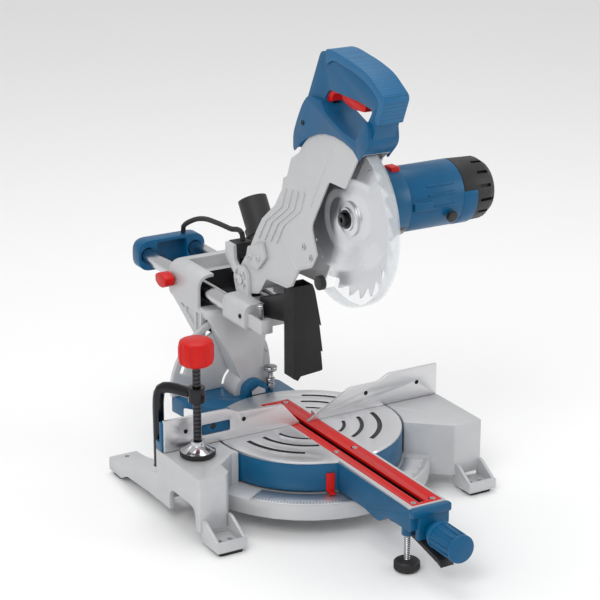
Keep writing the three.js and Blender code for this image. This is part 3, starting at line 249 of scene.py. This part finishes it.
def turned_ground(name, colour, rough):
    material = bpy.data.materials.new(name)
    material.use_nodes = True
    tree = material.node_tree
    shader = tree.nodes["Principled BSDF"]
    place = put(tree, "ShaderNodeTexCoord").outputs["Object"]
    radius = put(tree, "ShaderNodeVectorMath", {0: place}, operation="SUBTRACT")
    radius.inputs[1].default_value = BLADE_CENTRE
    along = put(tree, "ShaderNodeVectorMath", {0: radius.outputs["Vector"]}, operation="CROSS_PRODUCT")
    along.inputs[1].default_value = (1, 0, 0)
    tree.links.new(along.outputs["Vector"], shader.inputs["Tangent"])
    far = put(tree, "ShaderNodeVectorMath", {0: radius.outputs["Vector"]}, operation="LENGTH")
    rings = put(tree, "ShaderNodeTexNoise", {"W": far.outputs["Value"]},
                noise_dimensions="1D", Scale=900.0, Detail=3.0)
    base = linear(colour)
    low = tuple(c * 0.94 for c in base[:3]) + (1.0,)
    tree.links.new(shades(tree, rings.outputs["Fac"], low, base, 0.3, 0.7), shader.inputs["Base Color"])
    wander = put(tree, "ShaderNodeMapRange", {"Value": rings.outputs["Fac"]},
                 To_Min=rough * 0.8, To_Max=rough * 1.2)
    tree.links.new(wander.outputs["Result"], shader.inputs["Roughness"])
    shader.inputs["Metallic"].default_value = 1.0
    shader.inputs["Anisotropic"].default_value = 0.85
    return material


BLADE_STEEL = turned_ground("circular_ground_blade_steel", "#DCDDE0", 0.24)

# %% [markdown]
# Threads and grip textures are too fine to model one by one: a wave along the screw's axis stands for a
# thread, and round cells 2.4 mm apart for the dimples moulded into the handle grip.  Both are bumps, and
# their colour carries painted shade: the thread's roots and the middle of each dimple are darker, and the
# dimple rims lighter as a painted highlight.
# The real pitches, 3 mm on the clamp spindle and 1.5 mm on the small screws, are too fine to show
# from where the saw is seen, so the wave is drawn twice as coarse.

# %% Threaded steel and dimpled grip, with painted shade and highlight in their hollows
# A wave texture of scale 1 repeats every 314.16 mm.
WAVE_MM = 314.16
COARSER = 2


def threaded(name, colour, pitch_mm, rough):
    material = bpy.data.materials.new(name)
    material.use_nodes = True
    tree = material.node_tree
    shader = tree.nodes["Principled BSDF"]
    place = put(tree, "ShaderNodeTexCoord").outputs["Object"]
    thread = put(tree, "ShaderNodeTexWave", {"Vector": place},
                 bands_direction="Z", Scale=WAVE_MM / (pitch_mm * COARSER))
    base = linear(colour)
    # The thread's dark bands are painted shade in its roots, beside the bump.
    low = tuple(c * 0.45 for c in base[:3]) + (1.0,)
    tree.links.new(shades(tree, thread.outputs["Fac"], low, base, 0.1, 0.8), shader.inputs["Base Color"])
    lift = put(tree, "ShaderNodeBump", {"Height": thread.outputs["Fac"]}, Strength=0.8, Distance=0.0006)
    tree.links.new(lift.outputs["Normal"], shader.inputs["Normal"])
    shader.inputs["Metallic"].default_value = 1.0
    shader.inputs["Roughness"].default_value = rough
    return material


def dimpled(name, colour, cell_mm, rough):
    material = bpy.data.materials.new(name)
    material.use_nodes = True
    tree = material.node_tree
    shader = tree.nodes["Principled BSDF"]
    place = put(tree, "ShaderNodeTexCoord").outputs["Object"]
    cells = put(tree, "ShaderNodeTexVoronoi", {"Vector": place}, Scale=1000 / cell_mm, Randomness=0.15)
    base = linear(colour)
    # Dimple middles darker as painted shade, rims lighter as a painted highlight.
    low = tuple(c * 0.55 for c in base[:3]) + (1.0,)
    high = tuple(min(1.0, c * 1.35) for c in base[:3]) + (1.0,)
    tree.links.new(shades(tree, cells.outputs["Distance"], low, high, 0.12, 0.5), shader.inputs["Base Color"])
    lift = put(tree, "ShaderNodeBump", {"Height": cells.outputs["Distance"]}, Strength=0.7, Distance=0.0006)
    tree.links.new(lift.outputs["Normal"], shader.inputs["Normal"])
    shader.inputs["Roughness"].default_value = rough
    return material


BLACK_THREAD = threaded("rolled_thread_black_steel", "#4A4A4D", 3.0, 0.3)
BRIGHT_THREAD = threaded("rolled_thread_zinc_steel", "#C4C5C8", 1.5, 0.22)
GRIP_BLUE = dimpled("dimpled_grip_blue", GRIP_BLUE_HEX, 2.4, 0.5)

# %% [markdown]
# ## Rounding what a mould rounds
# No casting or moulding has knife edges: the light runs along each one.  A copy of the CAD
# piece has its vertices merged and its flat faces joined, then a Bevel modifier rounds every
# edge that turns by more than a set angle.  The copy stands for the node it came from.
# Edges that turn by less than 32 degrees are facets of a curve, and are shaded smooth instead.

# %% A rounded copy of a CAD piece
SHARP = math.radians(32)
ROUND_SEGMENTS = 2


def only(obj):
    bpy.ops.object.select_all(action="DESELECT")
    obj.select_set(True)
    bpy.context.view_layer.objects.active = obj


def apply_all(obj):
    only(obj)
    for modifier in list(obj.modifiers):
        bpy.ops.object.modifier_apply(modifier=modifier.name)


def rounded(node, width_mm):
    piece = bpy.data.objects.new(node + "_rounded", frame["nodes"][node].data.copy())
    bpy.context.collection.objects.link(piece)
    only(piece)
    bpy.ops.object.mode_set(mode="EDIT")
    bpy.ops.mesh.select_all(action="SELECT")
    bpy.ops.mesh.remove_doubles(threshold=0.02 * MM)
    bpy.ops.mesh.dissolve_limited(angle_limit=math.radians(1.0))
    bpy.ops.object.mode_set(mode="OBJECT")
    if width_mm:
        bevel = piece.modifiers.new("edge", "BEVEL")
        bevel.width = width_mm * MM
        bevel.segments = ROUND_SEGMENTS
        bevel.limit_method = "ANGLE"
        bevel.angle_limit = SHARP
        bevel.use_clamp_overlap = True
        apply_all(piece)
    only(piece)
    bpy.ops.object.shade_smooth_by_angle(angle=SHARP)
    piece.data.materials.clear()
    piece.data.materials.append(FINISH[SLOT_OF[node]])
    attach(piece, BODY_OF[node])
    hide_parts(node)
    return piece


# %% [markdown]
# Every node first gets its finish, so that nothing is left plain.  Then the pieces that a
# mould or a die made are swapped for rounded copies.

# %% Finishes on all the nodes, rounded copies of the moulded ones
for node, obj in frame["nodes"].items():
    obj.data.materials.clear()
    obj.data.materials.append(FINISH[SLOT_OF[node]])

# The radius of each piece's edges, in millimetres; 0 leaves them as they are.
EDGE_MM = {
    "base_casting": 1.6, "turntable_casting": 1.4, "bevel_arm": 1.6, "slide_carriage": 1.2,
    "rail_end_cap": 1.6, "upper_guard": 0.8, "gear_case": 1.0, "motor_housing": 1.2, "motor_end_cap": 1.2,
    "handle_shell": 3.0, "handle_grip": 1.4, "trigger": 1.0, "lock_off_lever": 1.0, "clamp_knob": 1.0,
    "clamp_pad": 0.8, "clamp_post": 0.6, "mitre_lock_knob": 1.4, "detent_lever": 1.2, "levelling_screw": 0.8,
    "slide_lock_knob": 1.4, "fence_right": 0.5, "fence_left_sliding": 0.5, "fence_carrier": 0.6,
    "table_plate": 0.3, "kerf_insert_left": 0.3, "kerf_insert_right": 0.3, "bevel_quadrant": 0.6,
    "dust_port": 0.6, "dust_duct": 1.5, "dust_deflector": 0.8, "cable_gland": 1.2, "guard_bracket": 0.8,
    "mitre_pointer": 0.5, "bevel_lock_lever": 0.8, "foot_pad_front_left": 0.6, "foot_pad_front_right": 0.6,
    "foot_pad_rear_left": 0.6, "foot_pad_rear_right": 0.6, "motor_lead": 0, "lower_guard": 0.3,
    "guard_roller": 0.6, "outer_flange": 0.4, "arbor_bolt": 0.4, "rail_left": 0.6, "rail_right": 0.6,
    "bevel_stop_screw": 0.4, "depth_stop_screw": 0.3, "clamp_spindle": 0.4, "fence_lock_screw": 0.5,
    "mitre_scale": 0.2, "saw_blade": 0,
}
made = {node: rounded(node, width) for node, width in EDGE_MM.items()}
print(len(made), "rounded pieces,", sum(len(p.data.polygons) for p in made.values()), "faces")

# %% [markdown]
# ## Surfaces of more than one finish
# Some castings are painted, milled or blacked only in places, and some recesses are blacked as painted shade.
# A face is given another finish by where its middle lies, in millimetres from the turntable's centre.

# %% Painting chosen faces
def paint_faces(piece, finish, chosen):
    piece.data.materials.append(finish)
    index = len(piece.data.materials) - 1
    count = 0
    for face in piece.data.polygons:
        c = (face.center - HUB) / MM
        if chosen(c, face.normal):
            face.material_index = index
            count += 1
    return count


def slice_at(piece, co, no):
    only(piece)
    bpy.ops.object.mode_set(mode="EDIT")
    bpy.ops.mesh.select_all(action="SELECT")
    bpy.ops.mesh.bisect(plane_co=at(*co), plane_no=no)
    bpy.ops.object.mode_set(mode="OBJECT")


# %% [markdown]
# The arc grooves of the plate are painted black between the milled lands, and the chip trough under the kerf
# is painted black too: both are painted shade for the dark of the recesses.  The inside of the slide
# housing's mouth is painted black as painted shade, while its outer corners keep their paint: an inner face
# is one whose normal looks towards the rails.

# %% Painted shade in grooves, trough and mouth
RAILS_Z = 243
# Groove floors and walls painted black: painted shade in the recessed arcs.
print("groove floors", paint_faces(made["table_plate"], FINISH["black"],
                                   lambda c, n: 93.5 < c.z < 96.5 and math.hypot(c.x, c.y) < 122
                                   and abs(c.x) > 25))
# The trough under the kerf painted black: painted shade in the recess.
print("trough", paint_faces(made["turntable_casting"], FINISH["black"],
                            lambda c, n: -16 < c.x < 14 and -306 < c.y < 94 and 70 < c.z < 92))
# The mouth's inner faces painted black: painted shade inside the housing.
print("mouth", paint_faces(made["bevel_arm"], FINISH["black"],
                           lambda c, n: 216 < c.y < 283 and abs(c.x) < 58.8 and 219 < c.z < 266
                           and n.x * c.x + n.z * (c.z - RAILS_Z) < 1))

# %% [markdown]
# The gear drum carries the motor's blue, and the neck beside the hood is bare black, so the piece
# is sliced where the paint ends.  The clamp's foot is a bright domed cap on a rubber ring.

# %% Drum, dome and the rim's painted sheen
PAINT_EDGE_X = 36
GUARD_RIM_R = 115.5
slice_at(made["gear_case"], (PAINT_EDGE_X, 0, 0), (1, 0, 0))
print("drum", paint_faces(made["gear_case"], FINISH["blue"],
                          lambda c, n: c.x > PAINT_EDGE_X and c.z > 425
                          and math.hypot(c.y - MOTOR_Y, c.z - MOTOR_Z) > 20))
print("dome", paint_faces(made["clamp_pad"], FINISH["steel"], lambda c, n: c.z > 105.8))
# The band beyond the rim radius gets the milky painted sheen.
print("guard rim", paint_faces(made["lower_guard"], CLEAR_RIM_PAINTED_SHEEN,
                               lambda c, n: math.hypot(c.y - BLADE_Y, c.z - BLADE_Z) > GUARD_RIM_R))
made["handle_grip"].data.materials[0] = GRIP_BLUE
made["saw_blade"].data.materials[0] = BLADE_STEEL
made["outer_flange"].data.materials[0] = BLADE_STEEL
made["clamp_spindle"].data.materials[0] = BLACK_THREAD
for node in ("levelling_screw", "depth_stop_screw", "bevel_stop_screw"):
    made[node].data.materials[0] = BRIGHT_THREAD
print("screw foot", paint_faces(made["levelling_screw"], FINISH["black"], lambda c, n: c.z < 16.5))

# %% [markdown]
# ## Small pieces
# A block, a round bar and a screw head are each made once as a maker would start them, from a
# plain bar, then bevelled.  Screw heads are one turned piece with a broached socket, copied to
# every place.

# %% Blocks, round bars and screw heads
def settle(piece, node, finish, round_mm=0.0):
    only(piece)
    bpy.ops.object.transform_apply(location=True, rotation=True, scale=True)
    if round_mm:
        bevel = piece.modifiers.new("edge", "BEVEL")
        bevel.width = round_mm * MM
        bevel.segments = ROUND_SEGMENTS
        bevel.limit_method = "ANGLE"
        apply_all(piece)
    only(piece)
    bpy.ops.object.shade_smooth_by_angle(angle=SHARP)
    piece.data.materials.clear()
    piece.data.materials.append(finish)
    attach(piece, BODY_OF[node])
    return piece


def block(name, low, high, node, finish, round_mm=0.8):
    bpy.ops.object.select_all(action="DESELECT")
    bpy.ops.mesh.primitive_cube_add(size=1, location=at(*[(a + b) / 2 for a, b in zip(low, high)]))
    piece = bpy.context.object
    piece.name = name
    piece.scale = [(b - a) * MM for a, b in zip(low, high)]
    return settle(piece, node, finish, round_mm)


def round_bar(name, start, end, radius, node, finish, round_mm=0.6, sides=32):
    start, end = at(*start), at(*end)
    bpy.ops.object.select_all(action="DESELECT")
    bpy.ops.mesh.primitive_cylinder_add(vertices=sides, radius=radius * MM, depth=(end - start).length,
                                        location=(start + end) / 2)
    piece = bpy.context.object
    piece.name = name
    piece.rotation_euler = (end - start).to_track_quat("Z", "Y").to_euler()
    return settle(piece, node, finish, round_mm)


def screw_master():
    bpy.ops.object.select_all(action="DESELECT")
    bpy.ops.mesh.primitive_cylinder_add(vertices=24, radius=1, depth=0.7)
    head = bpy.context.object
    bpy.ops.object.mode_set(mode="EDIT")
    bpy.ops.mesh.select_mode(type="FACE")
    bpy.ops.mesh.select_all(action="DESELECT")
    bpy.ops.object.mode_set(mode="OBJECT")
    max(head.data.polygons, key=lambda f: f.center.z).select = True
    bpy.ops.object.mode_set(mode="EDIT")
    bpy.ops.mesh.inset(thickness=0.42)
    bpy.ops.mesh.extrude_region_move(TRANSFORM_OT_translate={"value": (0, 0, -0.45)})
    bpy.ops.object.mode_set(mode="OBJECT")
    bevel = head.modifiers.new("edge", "BEVEL")
    bevel.width = 0.12
    bevel.segments = 2
    apply_all(head)
    return head


SCREW = screw_master()


def screw(name, place, axis, radius, node, finish):
    piece = bpy.data.objects.new(name, SCREW.data.copy())
    bpy.context.collection.objects.link(piece)
    piece.location = at(*place)
    piece.rotation_euler = Vector(axis).to_track_quat("Z", "Y").to_euler()
    piece.scale = (radius * MM, radius * MM, radius * MM)
    return settle(piece, node, finish)


def carve(piece, cutter):
    cut = piece.modifiers.new("cut", "BOOLEAN")
    cut.object = cutter
    cut.operation = "DIFFERENCE"
    cut.solver = "EXACT"
    apply_all(piece)
    bpy.data.objects.remove(cutter)


def tool_bar(start, end, radius):
    start, end = at(*start), at(*end)
    bpy.ops.object.select_all(action="DESELECT")
    bpy.ops.mesh.primitive_cylinder_add(vertices=24, radius=radius * MM, depth=(end - start).length,
                                        location=(start + end) / 2)
    tool = bpy.context.object
    tool.rotation_euler = (end - start).to_track_quat("Z", "Y").to_euler()
    return tool


# %% [markdown]
# The screws hold the fence faces, the kerf inserts, the hood, the handle halves, the carriage, the
# bevel arm and the motor's end cap.  Each row says the piece, the finish, the head's radius, the
# way it looks and the places.  The first head made is only a pattern, so it is removed at the end.

# %% Screws
LEFT, RIGHT, UP, FRONT = (-1, 0, 0), (1, 0, 0), (0, 0, 1), (0, -1, 0)
SCREWS = [
    ("fence_left_sliding", "black_oxide", 3.4, FRONT, [(-191, 9, 123), (-99, 9, 123)]),
    ("fence_right", "black_oxide", 3.4, FRONT, [(103, 9, 122), (191, 9, 122)]),
    ("kerf_insert_left", "steel", 3.9, UP, [(-15, -300.7, 95.8), (-15, -105, 95.8), (-15, 90, 95.8)]),
    ("kerf_insert_right", "steel", 3.9, UP, [(15, -300.7, 95.8), (15, -105, 95.8), (15, 90, 95.8)]),
    ("upper_guard", "steel", 4.2, LEFT, [(-25, -31.8, 376), (-25, -50.8, 365)]),
    ("handle_shell", "black_oxide", 3.6, LEFT, [(-26.4, -32, 551)]),
    ("handle_shell", "black_oxide", 3.6, LEFT, [(-20.6, -180, 549)]),
    ("slide_carriage", "black_oxide", 3.6, LEFT, [(-56.4, 96, 242)]),
    ("bevel_arm", "black_oxide", 4.0, FRONT, [(50, 191, 228)]),
    ("motor_end_cap", "steel", 2.6, RIGHT, [(205.2, -119, 482), (205.2, -119, 422)]),
]
count = 0
for node, finish, radius, axis, places in SCREWS:
    for place in places:
        screw(f"{node}_screw_{count}", place, axis, radius, node, FINISH[finish])
        count += 1
bpy.data.objects.remove(SCREW)
print(count, "screw heads")

# %% [markdown]
# ## Graduations
# The mitre scale is a bright ring with a tick every degree and a half, longer at each fifth.  The
# bevel scale on the quadrant is printed the same way, a tick every two degrees.  Each tick is a
# thin bar, and a scale's ticks are joined into one mesh.

# %% Ticks round an axis
def ticks(name, node, finish, angles, place):
    bars = []
    for k, angle in enumerate(angles):
        bpy.ops.mesh.primitive_cube_add(size=1)
        bar = bpy.context.object
        bar.matrix_world = place(k, math.radians(angle))
        bars.append(bar)
    bpy.ops.object.select_all(action="DESELECT")
    for bar in bars:
        bar.select_set(True)
    bpy.context.view_layer.objects.active = bars[0]
    bpy.ops.object.transform_apply(location=True, rotation=True, scale=True)
    bpy.ops.object.join()
    bars[0].name = name
    return settle(bars[0], node, finish)


SCALE_TOP_Z = 51.66
QUADRANT_FACE_Y = 197.96


def on_ring(k, a):
    long = 9 if k % 5 == 0 else 5
    r = 172 - long / 2
    where = Matrix.Translation(at(r * math.cos(a), r * math.sin(a), SCALE_TOP_Z))
    return where @ Matrix.Rotation(a, 4, "Z") @ Matrix.Diagonal((long * MM, 0.7 * MM, 0.14 * MM, 1))


def on_quadrant(k, a):
    long = 6 if k % 5 == 0 else 3.5
    r = 60 + long / 2
    where = Matrix.Translation(at(BEVEL_X + r * math.cos(a), QUADRANT_FACE_Y, BEVEL_Z + r * math.sin(a)))
    return where @ Matrix.Rotation(-a, 4, "Y") @ Matrix.Diagonal((long * MM, 0.14 * MM, 0.5 * MM, 1))


ticks("mitre_scale_ticks", "mitre_scale", FINISH["black"], [214 + 1.5 * k for k in range(73)], on_ring)
ticks("bevel_scale_ticks", "bevel_quadrant", FINISH["black"], [40 + 2 * k for k in range(24)], on_quadrant)
print("73 ticks on the mitre scale, 24 on the bevel scale")

# %% [markdown]
# ## Knobs
# The clamp knob is a moulded star: eight round scallops are cut into a plain drum, as a form
# cutter would.  The mitre lock knob gets twelve half-round ribs on its barrel instead, between a
# ring and a collar, and the foot of the levelling screw gets thirty fine ones to turn it by.

# %% Points round an axis
def around(middle, radius, count, start=0.0):
    turns = [math.radians(360 / count * k + start) for k in range(count)]
    return [(middle[0] + radius * math.cos(a), middle[1] + radius * math.sin(a)) for a in turns]


# %% [markdown]
# A scallop's cutter runs past both faces of the drum, and its middle lies outside the rim, so
# each cut is a shallow dish rather than a hole.

# %% Scallops, ribs and knurl
for x, y in around((CLAMP_X, CLAMP_Y), 31, 8, start=10):
    carve(made["clamp_knob"], tool_bar((x, y, 225), (x, y, 275), 9))

KNOB_FRONT, RIB_FRONT, RIB_BACK, KNOB_BACK = -389.5, -384, -343, -336
for k, (x, z) in enumerate(around((KNOB_X, KNOB_Z), 17.6, 12)):
    round_bar(f"mitre_knob_flute_{k}", (x, RIB_FRONT, z), (x, RIB_BACK, z), 2.2,
              "mitre_lock_knob", FINISH["blue_plastic"], 1.0, 12)
for name, front, back in (("mitre_knob_end_ring", KNOB_FRONT, RIB_FRONT),
                          ("mitre_knob_collar", RIB_BACK, KNOB_BACK)):
    round_bar(name, (KNOB_X, front, KNOB_Z), (KNOB_X, back, KNOB_Z), 19.6,
              "mitre_lock_knob", FINISH["blue_plastic"], 1.5)

for k, (x, y) in enumerate(around((LEVEL_X, LEVEL_Y), 16.8, 30)):
    round_bar(f"levelling_knurl_{k}", (x, y, 3), (x, y, 13), 0.9,
              "levelling_screw", FINISH["black"], 0.3, 8)
print("8 scallops, 12 ribs, 30 knurls")

# %% [markdown]
# ## Hood
# The left cheek of the hood is a thin moulding with two folds that stiffen it.  Each fold
# stands as a low rounded ridge, and the rim under the cheek is rolled over.  The rim stops short
# of the chop pivot, where the carriage passes close when the head is down.

# %% Folds
def ridge(name, points, x, radius, node, finish):
    for k in range(len(points) - 1):
        (y0, z0), (y1, z1) = points[k], points[k + 1]
        round_bar(f"{name}_{k}", (x, y0, z0), (x, y1, z1), radius, node, finish, 0.4, 16)


HOOD_RIM = [(74, 300), (16, 303.4), (3, 310), (-14, 337), (-50, 352.5)]
ridge("hood_fold_upper", [(-113, 545), (-49, 438)], -23.4, 1.7, "upper_guard", FINISH["guard_grey"])
ridge("hood_fold_lower", [(46, 375), (-14, 334)], -23.4, 1.7, "upper_guard", FINISH["guard_grey"])
ridge("hood_rim", HOOD_RIM, -23.9, 1.3, "upper_guard", FINISH["guard_grey"])
print("two folds and a rim of", len(HOOD_RIM) - 1, "bars")

# %% [markdown]
# ## Motor
# The blue shell has cooling ribs along its side, and the black end cap has slots between
# slats, where the fan draws air in.

# %% Ribs and slots
for k, angle in enumerate((148, 164, 186)):
    a = math.radians(angle)
    y, z = MOTOR_Y + 44.4 * math.cos(a), MOTOR_Z + 44.4 * math.sin(a)
    round_bar(f"motor_rib_{k}", (92, y, z), (134, y, z), 2.0,
              "motor_housing", FINISH["blue_plastic"], 1.0, 16)

SLOTS = 14
SLOT_SIZE_MM = (18, 12, 4.5)
for k in range(SLOTS):
    a = math.radians(360 / SLOTS * k + 8)
    bpy.ops.object.select_all(action="DESELECT")
    bpy.ops.mesh.primitive_cube_add(size=1)
    tool = bpy.context.object
    middle = at(186, MOTOR_Y + 44 * math.cos(a), MOTOR_Z + 44 * math.sin(a))
    tool.matrix_world = (Matrix.Translation(middle) @ Matrix.Rotation(a, 4, "X")
                         @ Matrix.Diagonal((*[side * MM for side in SLOT_SIZE_MM], 1)))
    carve(made["motor_end_cap"], tool)
print("3 ribs and", SLOTS, "slots")

# %% [markdown]
# The blue shell reaches over the lower half of the cap in a step.  It is turned as a whole drum
# and then cut off level, which leaves a straight edge.  A red release sits on the gear drum, and
# a screwed cap closes the carbon brush's hole.

# %% Step, release and brush cap
STEP_TOP_Z = 462
step = round_bar("motor_shell_step", (148, MOTOR_Y, MOTOR_Z), (171, MOTOR_Y, MOTOR_Z), 45.5,
                 "motor_housing", FINISH["blue_plastic"], 1.0, 48)
only(step)
bpy.ops.object.mode_set(mode="EDIT")
bpy.ops.mesh.select_all(action="SELECT")
bpy.ops.mesh.bisect(plane_co=at(0, 0, STEP_TOP_Z), plane_no=(0, 0, 1), clear_outer=True, use_fill=True)
bpy.ops.object.mode_set(mode="OBJECT")
block("guard_release", (48, -137, 494), (62, -118, 503), "gear_case", FINISH["red"], 2)
round_bar("brush_cap", (128, -163, 432), (128, -168, 430), 8, "motor_housing", FINISH["black"], 1.0)

# %% [markdown]
# ## Trigger
# The finger meets a trigger almost as wide as the grip, hanging below the bar.  The CAD lever is
# its narrow web, so the moulded pad is the same outline made wider and set a little lower.

# %% Wider finger pads
HANDLE_MIDDLE = at(-4, -130, 604)
for node, wide, drop_mm in (("trigger", 3.0, 5.0), ("lock_off_lever", 3.4, 2.0)):
    only(made[node])
    bpy.ops.object.mode_set(mode="EDIT")
    bpy.ops.mesh.select_all(action="SELECT")
    bpy.ops.transform.resize(value=(wide, 1, 1), center_override=HANDLE_MIDDLE)
    bpy.ops.transform.translate(value=(0, 0, -drop_mm * MM))
    bpy.ops.object.mode_set(mode="OBJECT")
    print(node, "is", round(made[node].dimensions.x / MM, 1), "mm wide")

# %% [markdown]
# ## Arm end
# The front of the turntable arm ends in a rolled lip, with a closed box below it that takes
# the mitre lock screw.

# %% Lip and box
block("arm_front_lip", (-31, -324, 84), (31, -313, 96.6), "turntable_casting", FINISH["blue"], 3)
block("arm_front_box", (-20, -321, 50), (24, -312, 86), "turntable_casting", FINISH["blue"], 2.5)

# %% [markdown]
# ## Floor, light and camera
# The saw stands on a pale plain sheet, just below its feet so that the two never flicker.

# %% Floor
bpy.ops.object.select_all(action="DESELECT")
bpy.ops.mesh.primitive_plane_add(size=30, location=(0, 0, -0.0002))
floor = bpy.context.object
floor.name = "studio_floor"
pale = bpy.data.materials.new("studio_paper")
pale.use_nodes = True
pale.node_tree.nodes["Principled BSDF"].inputs["Base Color"].default_value = linear("#F7F7F7")
pale.node_tree.nodes["Principled BSDF"].inputs["Roughness"].default_value = 0.9
floor.data.materials.append(pale)

# %% [markdown]
# A broad soft box stands to the upper left, a weaker one to the right and a third hangs behind,
# under a bright sky, so that the shadows stay soft and every side has some light.

# %% Lights
world = bpy.data.worlds.new("studio_sky")
bpy.context.scene.world = world
world.use_nodes = True
world.node_tree.nodes["Background"].inputs["Color"].default_value = (1, 1, 1, 1)
world.node_tree.nodes["Background"].inputs["Strength"].default_value = 0.7


def soft_box(name, place, aim, size, power):
    light = bpy.data.lights.new(name, "AREA")
    light.shape = "SQUARE"
    light.size = size
    light.energy = power
    lamp = bpy.data.objects.new(name, light)
    bpy.context.collection.objects.link(lamp)
    lamp.location = Vector(place)
    lamp.rotation_euler = (Vector(aim) - Vector(place)).to_track_quat("-Z", "Y").to_euler()
    return lamp


MIDDLE = at(0, 0, 300)
soft_box("key_soft_box", (-1.8, -1.6, 2.4), MIDDLE, 1.4, 31)
soft_box("right_soft_box", (2.2, -1.4, 1.2), MIDDLE, 1.0, 9)
soft_box("top_soft_box", (0.2, 0.6, 2.6), MIDDLE, 1.4, 17)

# %% [markdown]
# A long lens from the front left, a little above, as for a catalogue: it keeps upright edges
# nearly parallel.

# %% Camera
lens = bpy.data.cameras.new("catalogue_lens")
lens.lens = 122.76
lens.sensor_width = 36
camera = bpy.data.objects.new("catalogue_camera", lens)
bpy.context.collection.objects.link(camera)
camera.location = at(-1368.9, -2343.0, 1219.2)
camera.rotation_euler = (math.radians(71.01), 0, math.radians(-30.07))
bpy.context.scene.camera = camera
bpy.context.scene.view_settings.view_transform = "Standard"
